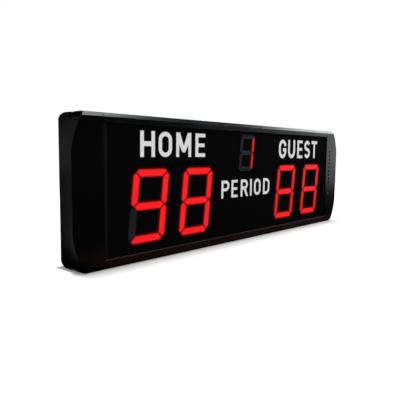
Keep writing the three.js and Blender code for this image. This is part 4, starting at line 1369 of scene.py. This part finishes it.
class ScoreboardScrews(bpy.types.PropertyGroup):
    """Sizes of the screws in the back panel and of the threads in the hanger nuts."""

    head_diameter: length_setting("Head Diameter", "Diameter of a screw head", 5.6 * MM)
    head_height: length_setting("Head Height", "Height of a screw head", 1.8 * MM)
    shank_length: length_setting("Shank Length", "Length of a screw under its head", 6 * MM)
    thread_diameter: length_setting(
        "Thread Diameter", "Diameter of the thread in a hanger nut", 4 * MM
    )
    thread_pitch: length_setting("Thread Pitch", "Rise of the thread for each turn", 0.7 * MM)
    thread_depth: length_setting(
        "Thread Depth", "How far the thread stands into the nut's bore", 0.33 * MM
    )
    tray_inset: length_setting(
        "Tray Screw Inset",
        "How far the tray's screws lie inside the corners of its flange",
        3.2 * MM,
    )


class ScoreboardStage(bpy.types.PropertyGroup):
    """Floor, lamps and camera."""

    floor_colour: colour_setting("Floor Colour", "Colour of the floor", (0.9, 0.9, 0.9))
    floor_lift: share_setting(
        "Floor Whiteness",
        "White that the camera sees on the floor beside the light that falls on it",
        0.8,
    )
    floor_reach: length_setting("Floor Reach", "How far the floor reaches from the board", 12.0)
    sky_strength: bpy.props.FloatProperty(
        name="Room Light",
        description="Strength of the even light of the room",
        default=0.55,
        min=0,
    )
    front_power: power_setting("Front Lamp", "Power of the soft box before the board", 14.0)
    top_power: power_setting("Top Lamp", "Power of the soft box above the board", 4.6)
    side_power: power_setting("Side Lamp", "Power of the soft box beyond the right end", 4.5)
    lens: bpy.props.FloatProperty(
        name="Lens",
        description="Focal length of the camera in millimetres",
        default=42.256,
    )


# Steps


class FinishCase(bpy.types.Operator):
    """Rounds the edges of the rails and end caps and gives them their finishes."""

    bl_idname = "scoreboard.finish_case"
    bl_label = "Rails and End Caps"

    def execute(self, context):
        settings = context.scene.scoreboard_case
        aluminium = anodised_aluminium(settings)
        plastic = moulded_plastic(settings)
        perforated = perforated_plastic(settings)
        for node, name, finish, slot in (
            ("top_rail", "top_rail_profile", aluminium, "anodised_rail"),
            ("bottom_rail", "bottom_rail_profile", aluminium, "anodised_rail"),
            ("left_end_cap", "left_end_cap_moulding", plastic, "moulded_black"),
            ("right_end_cap", "right_end_cap_moulding", perforated, "moulded_black"),
        ):
            rounded_node(node, name, finish, settings.edge_radius, reshape=widen_rear_round)
        finish_node("buzzer", plastic)
        finish_node("receiver_window", smoked_window())
        return {"FINISHED"}


class FinishPanels(bpy.types.Operator):
    """Gives the front and back panels and the tray their finishes and adds the seals."""

    bl_idname = "scoreboard.finish_panels"
    bl_label = "Panels"

    def execute(self, context):
        settings = context.scene.scoreboard_case
        radius = settings.edge_radius * SHEET_EDGE_SHARE
        finish_node("front_panel", front_sheet(settings))
        coat = powder_coat(settings)
        rounded_node("back_panel", "back_panel_sheet", coat, radius)
        tray = moulded_plastic(settings, "black_tray_plastic", TRAY_BLACK)
        rounded_node("power_tray", "power_tray_moulding", tray, radius)
        self.seals(settings)
        return {"FINISHED"}

    def seals(self, settings):
        """Seal strips along the inner edges of the end caps, on the front sheet."""
        rubber = seal_rubber(settings)
        low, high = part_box("front_panel")
        rail_low, rail_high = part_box("top_rail")
        width, rise = settings.seal_width, SEAL_THICKNESS
        eased = [(width * 0.75, rise), (width * 0.94, rise * 0.6)]
        profile = [(0, 0), (0, rise), *eased, (width, 0)]
        inset = RAIL_LIP - low.z + SEAL_END_GAP
        for name, start, inwards in (
            ("left_seal_strip", rail_low.x, 1),
            ("right_seal_strip", rail_high.x, -1),
        ):
            shape = bmesh.new()
            lower, upper = (
                [shape.verts.new((start + inwards * x, low.y - y, z)) for x, y in profile]
                for z in (low.z + inset, high.z - inset)
            )
            for index in range(len(profile)):
                following = (index + 1) % len(profile)
                shape.faces.new((lower[index], lower[following], upper[following], upper[index]))
            shape.faces.new(lower)
            shape.faces.new(upper)
            bmesh.ops.recalc_face_normals(shape, faces=shape.faces)
            mark_sharp_edges(shape, SEAL_ANGLE)
            mesh = end_shape(shape, bpy.data.meshes.new(name), rubber)
            link_piece(name, mesh)


class LightDigits(bpy.types.Operator):
    """Makes the bars of the five digits, lit for the score and the period, and their faces."""

    bl_idname = "scoreboard.light_digits"
    bl_label = "Digits"

    def execute(self, context):
        settings = context.scene.scoreboard_digits
        shown = settings.home_score + settings.period + settings.guest_score
        if len(shown) != len(DIGITS) or not shown.isdigit():
            raise RuntimeError("the score and the period need five digits in all")
        lit, side, dark = glowing_bar(settings), side_bar_glow(settings), dark_bar(settings)
        for digit, sign in zip(DIGITS, shown):
            outlines = bar_outlines(settings, settings.period_share if digit == "period" else 1.0)
            bars = [int(index) for index in LIT_BARS[int(sign)]]
            on = [outlines[index] for index in bars]
            off = [outlines[index] for index in range(len(outlines)) if index not in bars]
            node = digit + "_diffuser"
            upright = lit if digit.startswith("home") else side
            make_bars(digit + "_lit_bars", on, settings, node, (lit, upright), (node,))
            spill_light(digit, on, settings)
            if off:
                make_bars(digit + "_unlit_bars", off, settings, node, (dark, dark))
        return {"FINISHED"}


class PrintWords(bpy.types.Operator):
    """Prints the three words on the front panel."""

    bl_idname = "scoreboard.print_words"
    bl_label = "Words"

    def execute(self, context):
        settings = context.scene.scoreboard_print
        ink = screen_ink(settings)
        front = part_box("front_panel")[0].y - settings.ink_thickness / 2
        place = Matrix.Translation((0.0, front, 0.0)) @ Matrix.Rotation(math.pi / 2, 4, "X")
        for name, (letters, (bottom, top), pen) in WORDS.items():
            loops = []
            for letter, left, right in letters:
                for loop in LETTERS[letter](right - left, top - bottom, pen):
                    loops.append([((left + x) * MM, (bottom + z) * MM) for x, z in loop])
            flat_print(name, loops, place, settings.ink_thickness, ink)
        return {"FINISHED"}


class FinishElectronics(bpy.types.Operator):
    """Gives the boards, standoffs, cable and leads inside the case their finishes."""

    bl_idname = "scoreboard.finish_electronics"
    bl_label = "Boards and Leads"

    def execute(self, context):
        display_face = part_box("display_board")[0].y + BOARD_SKIN
        control_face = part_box("control_board")[1].y - BOARD_SKIN
        receiver_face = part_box("receiver_board")[1].y - RECEIVER_SKIN
        module_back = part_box("home_tens_housing")[1].y
        for node, part_colour, face, parts_behind in (
            ("display_board", (0.012, 0.012, 0.014), display_face, True),
            ("control_board", (0.015, 0.015, 0.017), control_face, False),
            ("receiver_board", (0.01, 0.01, 0.01), receiver_face, False),
        ):
            finish_node(node, board_finish(node + "_mask", part_colour, face, parts_behind))
        led_face, pins = module_back - BOARD_SKIN, module_back + PIN_START
        led = board_finish("led_board_mask", (0.7, 0.66, 0.6), led_face, False, pins)
        white = reflector_white()
        for digit in DIGITS:
            finish_node(digit + "_led_board", led)
            finish_node(digit + "_reflector", white)
        brass = plated_metal("turned_brass", (0.55, 0.36, 0.12), 0.32)
        for number in STANDOFFS:
            finish_node(f"board_standoff_{number}", brass)
        finish_node("ribbon_cable", ribbon_finish())
        red = soft_insulation("red_lead_insulation", (0.32, 0.012, 0.012))
        black = soft_insulation("black_lead_insulation", (0.008, 0.008, 0.009))
        for node, material in (
            ("inlet_lead", red),
            ("switch_lead", red),
            ("buzzer_lead", black),
            ("receiver_lead", black),
        ):
            finish_node(node, material)
        return {"FINISHED"}


class FinishPower(bpy.types.Operator):
    """Finishes the power switch, its rocker and the power inlet."""

    bl_idname = "scoreboard.finish_power"
    bl_label = "Power Switch and Inlet"

    def execute(self, context):
        settings = context.scene.scoreboard_case
        bezel = moulded_plastic(settings, "black_switch_plastic", SWITCH_BLACK)
        cap = moulded_plastic(settings, "glossy_rocker_plastic", ROCKER_BLACK)
        nickel = plated_metal("nickel_plate", (0.56, 0.55, 0.53), 0.2)
        radius = settings.edge_radius * SHEET_EDGE_SHARE
        hinge = next(item for item in frame["joints"] if item["child"] == "power_rocker")
        pin = (Vector(hinge["pos_m"]), *PIN_REACH)
        rounded_node("switch_frame", "switch_bezel", bezel, radius, pin=pin)
        rounded_node("power_rocker", "rocker_cap", cap, radius, "power_rocker")
        rounded_node("power_inlet", "inlet_barrel", nickel, radius)
        finish_node("power_inlet_nut", nickel)
        self.print_marks(context, hinge)
        return {"FINISHED"}

    def print_marks(self, context, hinge):
        """The line and the ring on the rocker, for on and off."""
        ink = bpy.data.materials.get("white_screen_ink")
        ink = ink or screen_ink(context.scene.scoreboard_print)
        tilt = -math.radians(hinge["range_deg"][1] - hinge["range_deg"][0]) / 2
        ring = [quarter(0, 0, size, size, 0, 345, 23) for size in MARK_RING]
        line = [box_outline(*MARK_LINE)]
        low, high, reach = ROCKER_FACE
        slope = math.atan2(high - low, reach)
        rise = low + (high - low) * MARK_SHARE + MARK_GAP
        for name, loops, side in (("rocker_on_line", line, 1), ("rocker_off_ring", ring, -1)):
            place = (
                Matrix.Translation(hinge["pos_m"])
                @ Matrix.Rotation(tilt, 4, "X")
                @ Matrix.Translation((0.0, rise, side * reach * MARK_SHARE))
                @ Matrix.Rotation(-side * slope, 4, "X")
                @ Matrix.Rotation(-math.pi / 2, 4, "X")
                @ Matrix.Rotation(math.pi, 4, "Z")
            )
            flat_print(name, loops, place, MARK_INK, ink, "power_rocker")


class FinishHangers(bpy.types.Operator):
    """Finishes the hanger nuts in the groove of the top rail."""

    bl_idname = "scoreboard.finish_hangers"
    bl_label = "Hanger Nuts"

    def execute(self, context):
        screws = context.scene.scoreboard_screws
        radius = context.scene.scoreboard_case.edge_radius * NUT_EDGE_SHARE
        zinc = plated_metal("zinc_plated_steel", (0.5, 0.51, 0.54), 0.34)
        thread = thread_tree(zinc)
        for node in ("hanger_nut_left", "hanger_nut_right"):
            rounded_node(node, node + "_block", zinc, radius, node)
            low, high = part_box(node)
            start = low.z + screws.thread_depth
            values = {
                "Thread Diameter": screws.thread_diameter,
                "Pitch": screws.thread_pitch,
                "Thread Depth": screws.thread_depth,
                "Thread Length": high.z - screws.thread_depth - start,
            }
            middle = ((low.x + high.x) / 2, (low.y + high.y) / 2, start)
            grow_from_points(node + "_thread", [middle], thread, values, node)
        return {"FINISHED"}


class FitScrews(bpy.types.Operator):
    """Fits the screws that hold the control board and the tray to the back panel."""

    bl_idname = "scoreboard.fit_screws"
    bl_label = "Screws"

    def execute(self, context):
        settings = context.scene.scoreboard_screws
        steel = plated_metal("zinc_screw", (0.4, 0.41, 0.43), 0.3)
        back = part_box("back_panel")[1].y
        points = []
        for number in STANDOFFS:
            low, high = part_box(f"board_standoff_{number}")
            points.append(((low.x + high.x) / 2, back, (low.z + high.z) / 2))
        low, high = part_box("power_tray")
        inset = settings.tray_inset
        for x in (low.x + inset, high.x - inset):
            for z in (low.z + inset, high.z - inset):
                points.append((x, back, z))
        values = {
            "Head Diameter": settings.head_diameter,
            "Head Height": settings.head_height,
            "Shank Length": settings.shank_length,
        }
        grow_from_points("back_panel_screws", points, screw_tree(steel), values)
        return {"FINISHED"}


# Lamps: name, place, the point that they face, width and height, colour
COOL_WHITE = (0.93, 1.0, 1.0)
LAMPS = (
    ("front_lamp", (-0.9, -2.1, 1.5), (0.0, 0.0, 0.05), (1.8, 1.2), WHITE),
    ("top_lamp", (0.58, -0.28, 1.49), (-0.1, 0.0, 0.1), (0.7, 0.5), COOL_WHITE),
    ("side_lamp", (1.67, -0.2, 0.84), (0.2, 0.0, 0.1), (0.8, 0.45), COOL_WHITE),
)

# Cloths of the cards, and the heights that keep those on the floor apart
SOOT = (0.004, 0.004, 0.004)
BLACK = (0.0, 0.0, 0.0)
GREY = (0.08, 0.08, 0.08)
PALE = (0.6, 0.6, 0.6)
# Reddish cloth that stands in for the digits' red light on the floor, a painted reflection in the
# bottom lip
RED_BOUNCE = (0.15, 0.0525, 0.0525)
FIRST_LAY, SECOND_LAY, THIRD_LAY = 0.1 * MM, 0.2 * MM, 0.3 * MM

# Cards: name, cloth, own light and two opposite corners
CARDS = (
    ("roof_card", SOOT, 0.0, (-1.6, 2.5, 1.2), (1.2, 0.4, 3.2)),
    ("right_card", PALE, 0.0, (1.05, -1.9, FIRST_LAY), (2.6, 1.0, FIRST_LAY)),
    ("front_card", SOOT, 0.0, (-3.2, -1.9, 0.0), (3.3, -1.9, 1.5)),
    ("left_card", SOOT, 0.0, (-2.2, -1.9, 0.0), (-2.2, 2.6, 1.5)),
    ("rear_card", GREY, 0.0, (-2.2, 2.6, 0.0), (2.6, 2.6, 1.5)),
    ("upper_card", SOOT, 0.0, (2.4, -1.6, 1.05), (2.4, 1.4, 4.5)),
    ("floor_card", SOOT, 0.0, (-2.2, -1.9, FIRST_LAY), (1.05, 2.6, FIRST_LAY)),
    ("near_card", BLACK, 0.3, (-0.295, 0.0, THIRD_LAY), (-0.262, 0.3, THIRD_LAY)),
    ("side_card", BLACK, 0.14, (-2.2, 0.0, SECOND_LAY), (-0.262, 2.6, SECOND_LAY)),
    # Painted reflection: the digits' red light on the floor, seen only in the bottom lip
    ("red_bounce_card", RED_BOUNCE, 0.0, (-0.22, -0.09, SECOND_LAY), (0.3, -0.02, SECOND_LAY)),
)

# Camera: its place and its own axes, as solved from the photo
CAMERA_PLACE = (-0.49488, -0.38174, 0.11421)
CAMERA_RIGHT = (0.66416, -0.74752, 0.01018)
CAMERA_UP = (0.06971, 0.07549, 0.99471)
CAMERA_BACK = (-0.74434, -0.65993, 0.10225)


class SetStage(bpy.types.Operator):
    """Sets up the floor, the lamps, the room and the camera."""

    bl_idname = "scoreboard.set_stage"
    bl_label = "Stage"

    def execute(self, context):
        settings = context.scene.scoreboard_stage
        self.floor(settings)
        self.room(context.scene, settings)
        self.lamps(settings)
        self.cards()
        self.camera(context.scene, settings)
        context.scene.view_settings.view_transform = "Standard"
        return {"FINISHED"}

    def floor(self, settings):
        """A pale floor, whiter to the camera than the light that falls on it."""
        reach = settings.floor_reach
        material, tree, shader = start_finish("pale_floor")
        point = surface_point(tree)
        cloud = noise(tree, point, grain=0.8, detail=3.0)
        pale = settings.floor_colour
        seen = seen_share(tree)
        clear = times(tree, self.off_board(tree), settings.floor_lift)
        inputs = {
            "Base Color": blend_colours(tree, cloud, scaled(pale, 0.985), pale),
            "Roughness": 0.9,
            GLOSS: 0.1,
            "Emission Color": WHITE,
            "Emission Strength": times(tree, seen, clear),
        }
        feed(tree, shader, inputs)
        distance = add_node(tree, "ShaderNodeVectorMath", {"Vector": point}, operation="LENGTH")
        far = between(tree, distance.outputs["Value"], 0.0, 1.0, *WHITE_FLOOR)
        white = add_node(tree, "ShaderNodeEmission", {"Color": WHITE, "Strength": 1.0})
        inputs = {
            0: times(tree, far, seen),
            1: shader.outputs["BSDF"],
            2: white.outputs["Emission"],
        }
        mixed = add_node(tree, "ShaderNodeMixShader", inputs).outputs["Shader"]
        feed(tree, tree.nodes["Material Output"], {"Surface": mixed})
        floor = self.sheet("floor", (-reach, -reach, 0.0), (reach, reach, 0.0), material)

    def sheet(self, name, first, last, material):
        """A flat sheet from two opposite corners, its first edge level and along X if it can be."""
        if first[0] == last[0]:
            second, fourth = (*last[:2], first[2]), (*first[:2], last[2])
        else:
            second, fourth = (last[0], *first[1:]), (first[0], *last[1:])
        mesh = bpy.data.meshes.new(name)
        mesh.from_pydata([first, second, last, fourth], [], [(0, 1, 2, 3)])
        mesh.materials.append(material)
        return link_object(name, mesh)

    def off_board(self, tree):
        """Zero beside the board and one a little way off, for the shadow close round it."""
        axes = object_axes(tree)
        spans = []
        # Each axis: where the shadow starts, its steepness before and behind the board, and
        # the depths between which the one turns into the other
        for axis, reach, steep, depths in (
            ("X", cad_high.x - 10 * MM, (3.5, 14.0), (-14 * MM, 2 * MM)),
            ("Y", cad_high.y, (1.0, 14.0), (-2 * MM, 2 * MM)),
        ):
            off = minus(tree, math_node(tree, "ABSOLUTE", axes[axis]), reach)
            past = math_node(tree, "MAXIMUM", off, 0.0)
            steepness = between(tree, axes["Y"], *steep, *depths)
            spans.append(times(tree, past, steepness))
        return between(tree, root_of_squares(tree, spans), 0.0, 1.0, 0.0, SHADOW_REACH)

    def room(self, scene, settings):
        """An even room, white to the camera."""
        world = bpy.data.worlds.new("pale_room")
        world.use_nodes = True
        tree = world.node_tree
        strength = between(tree, seen_share(tree), settings.sky_strength, 1.0, 0.0, 1.0)
        feed(tree, tree.nodes["Background"], {"Color": WHITE, "Strength": strength})
        scene.world = world

    def lamps(self, settings):
        """Soft boxes: one before the board, one above its middle and one beyond its right end."""
        powers = (settings.front_power, settings.top_power, settings.side_power)
        for (name, place, aim, size, colour), power in zip(LAMPS, powers):
            data = bpy.data.lights.new(name, "AREA")
            data.shape = "RECTANGLE"
            data.size, data.size_y = size
            data.energy = power
            data.color = colour
            lamp = link_object(name, data)
            lamp.location = place
            lamp.rotation_mode = "QUATERNION"
            lamp.rotation_quaternion = (Vector(aim) - Vector(place)).to_track_quat("-Z", "Y")

    def cards(self):
        """Cards that only reflections show, as a studio sets round a glossy black product."""
        for name, colour, glow, first, last in CARDS:
            material, tree, shader = start_finish(name + "_cloth")
            inputs = {
                "Base Color": colour,
                GLOSS: 0.0,
                "Emission Color": WHITE,
                "Emission Strength": glow,
            }
            feed(tree, shader, inputs)
            card = self.sheet(name, first, last, material)
            card.visible_camera = False
            card.visible_diffuse = False
            card.visible_shadow = False
            card.visible_transmission = False

    def camera(self, scene, settings):
        """The camera that took the photo."""
        data = bpy.data.cameras.new("camera")
        data.lens = settings.lens
        data.sensor_width = 36
        data.clip_start = 0.01
        camera = link_object("camera", data)
        turn = Matrix((CAMERA_RIGHT, CAMERA_UP, CAMERA_BACK)).transposed().to_4x4()
        camera.matrix_world = Matrix.Translation(CAMERA_PLACE) @ turn
        scene.camera = camera


def seen_share(tree):
    """One for camera, glossy and transmission rays, zero for the others."""
    rays = add_node(tree, "ShaderNodeLightPath").outputs
    kinds = (rays["Is Camera Ray"], rays["Is Glossy Ray"], rays["Is Transmission Ray"])
    return math_node(tree, "MAXIMUM", *kinds)


STEPS = (
    SetStage,
    FinishCase,
    FinishPanels,
    LightDigits,
    PrintWords,
    FinishElectronics,
    FinishPower,
    FinishHangers,
    FitScrews,
)
SETTINGS = {
    "scoreboard_case": ScoreboardCase,
    "scoreboard_digits": ScoreboardDigits,
    "scoreboard_print": ScoreboardPrint,
    "scoreboard_screws": ScoreboardScrews,
    "scoreboard_stage": ScoreboardStage,
}


class ScoreboardPanel(bpy.types.Panel):
    """Lists the steps and settings of the scoreboard."""

    bl_idname = "VIEW3D_PT_scoreboard"
    bl_label = "Scoreboard"
    bl_space_type = "VIEW_3D"
    bl_region_type = "UI"
    bl_category = "Scoreboard"

    def draw(self, context):
        for step in STEPS:
            self.layout.operator(step.bl_idname)
        for name, group in SETTINGS.items():
            box = self.layout.box()
            for field in group.__annotations__:
                box.prop(getattr(context.scene, name), field)


def register():
    for group in SETTINGS.values():
        bpy.utils.register_class(group)
    for name, group in SETTINGS.items():
        setattr(bpy.types.Scene, name, bpy.props.PointerProperty(type=group))
    for step in STEPS:
        bpy.utils.register_class(step)
    bpy.utils.register_class(ScoreboardPanel)


def unregister():
    bpy.utils.unregister_class(ScoreboardPanel)
    for step in reversed(STEPS):
        bpy.utils.unregister_class(step)
    for name, group in SETTINGS.items():
        delattr(bpy.types.Scene, name)
        bpy.utils.unregister_class(group)


def main():
    """Runs every step."""
    register()
    for step in STEPS:
        name = step.bl_idname.split(".")[1]
        getattr(bpy.ops.scoreboard, name)()


if __name__ == "__main__":
    main()
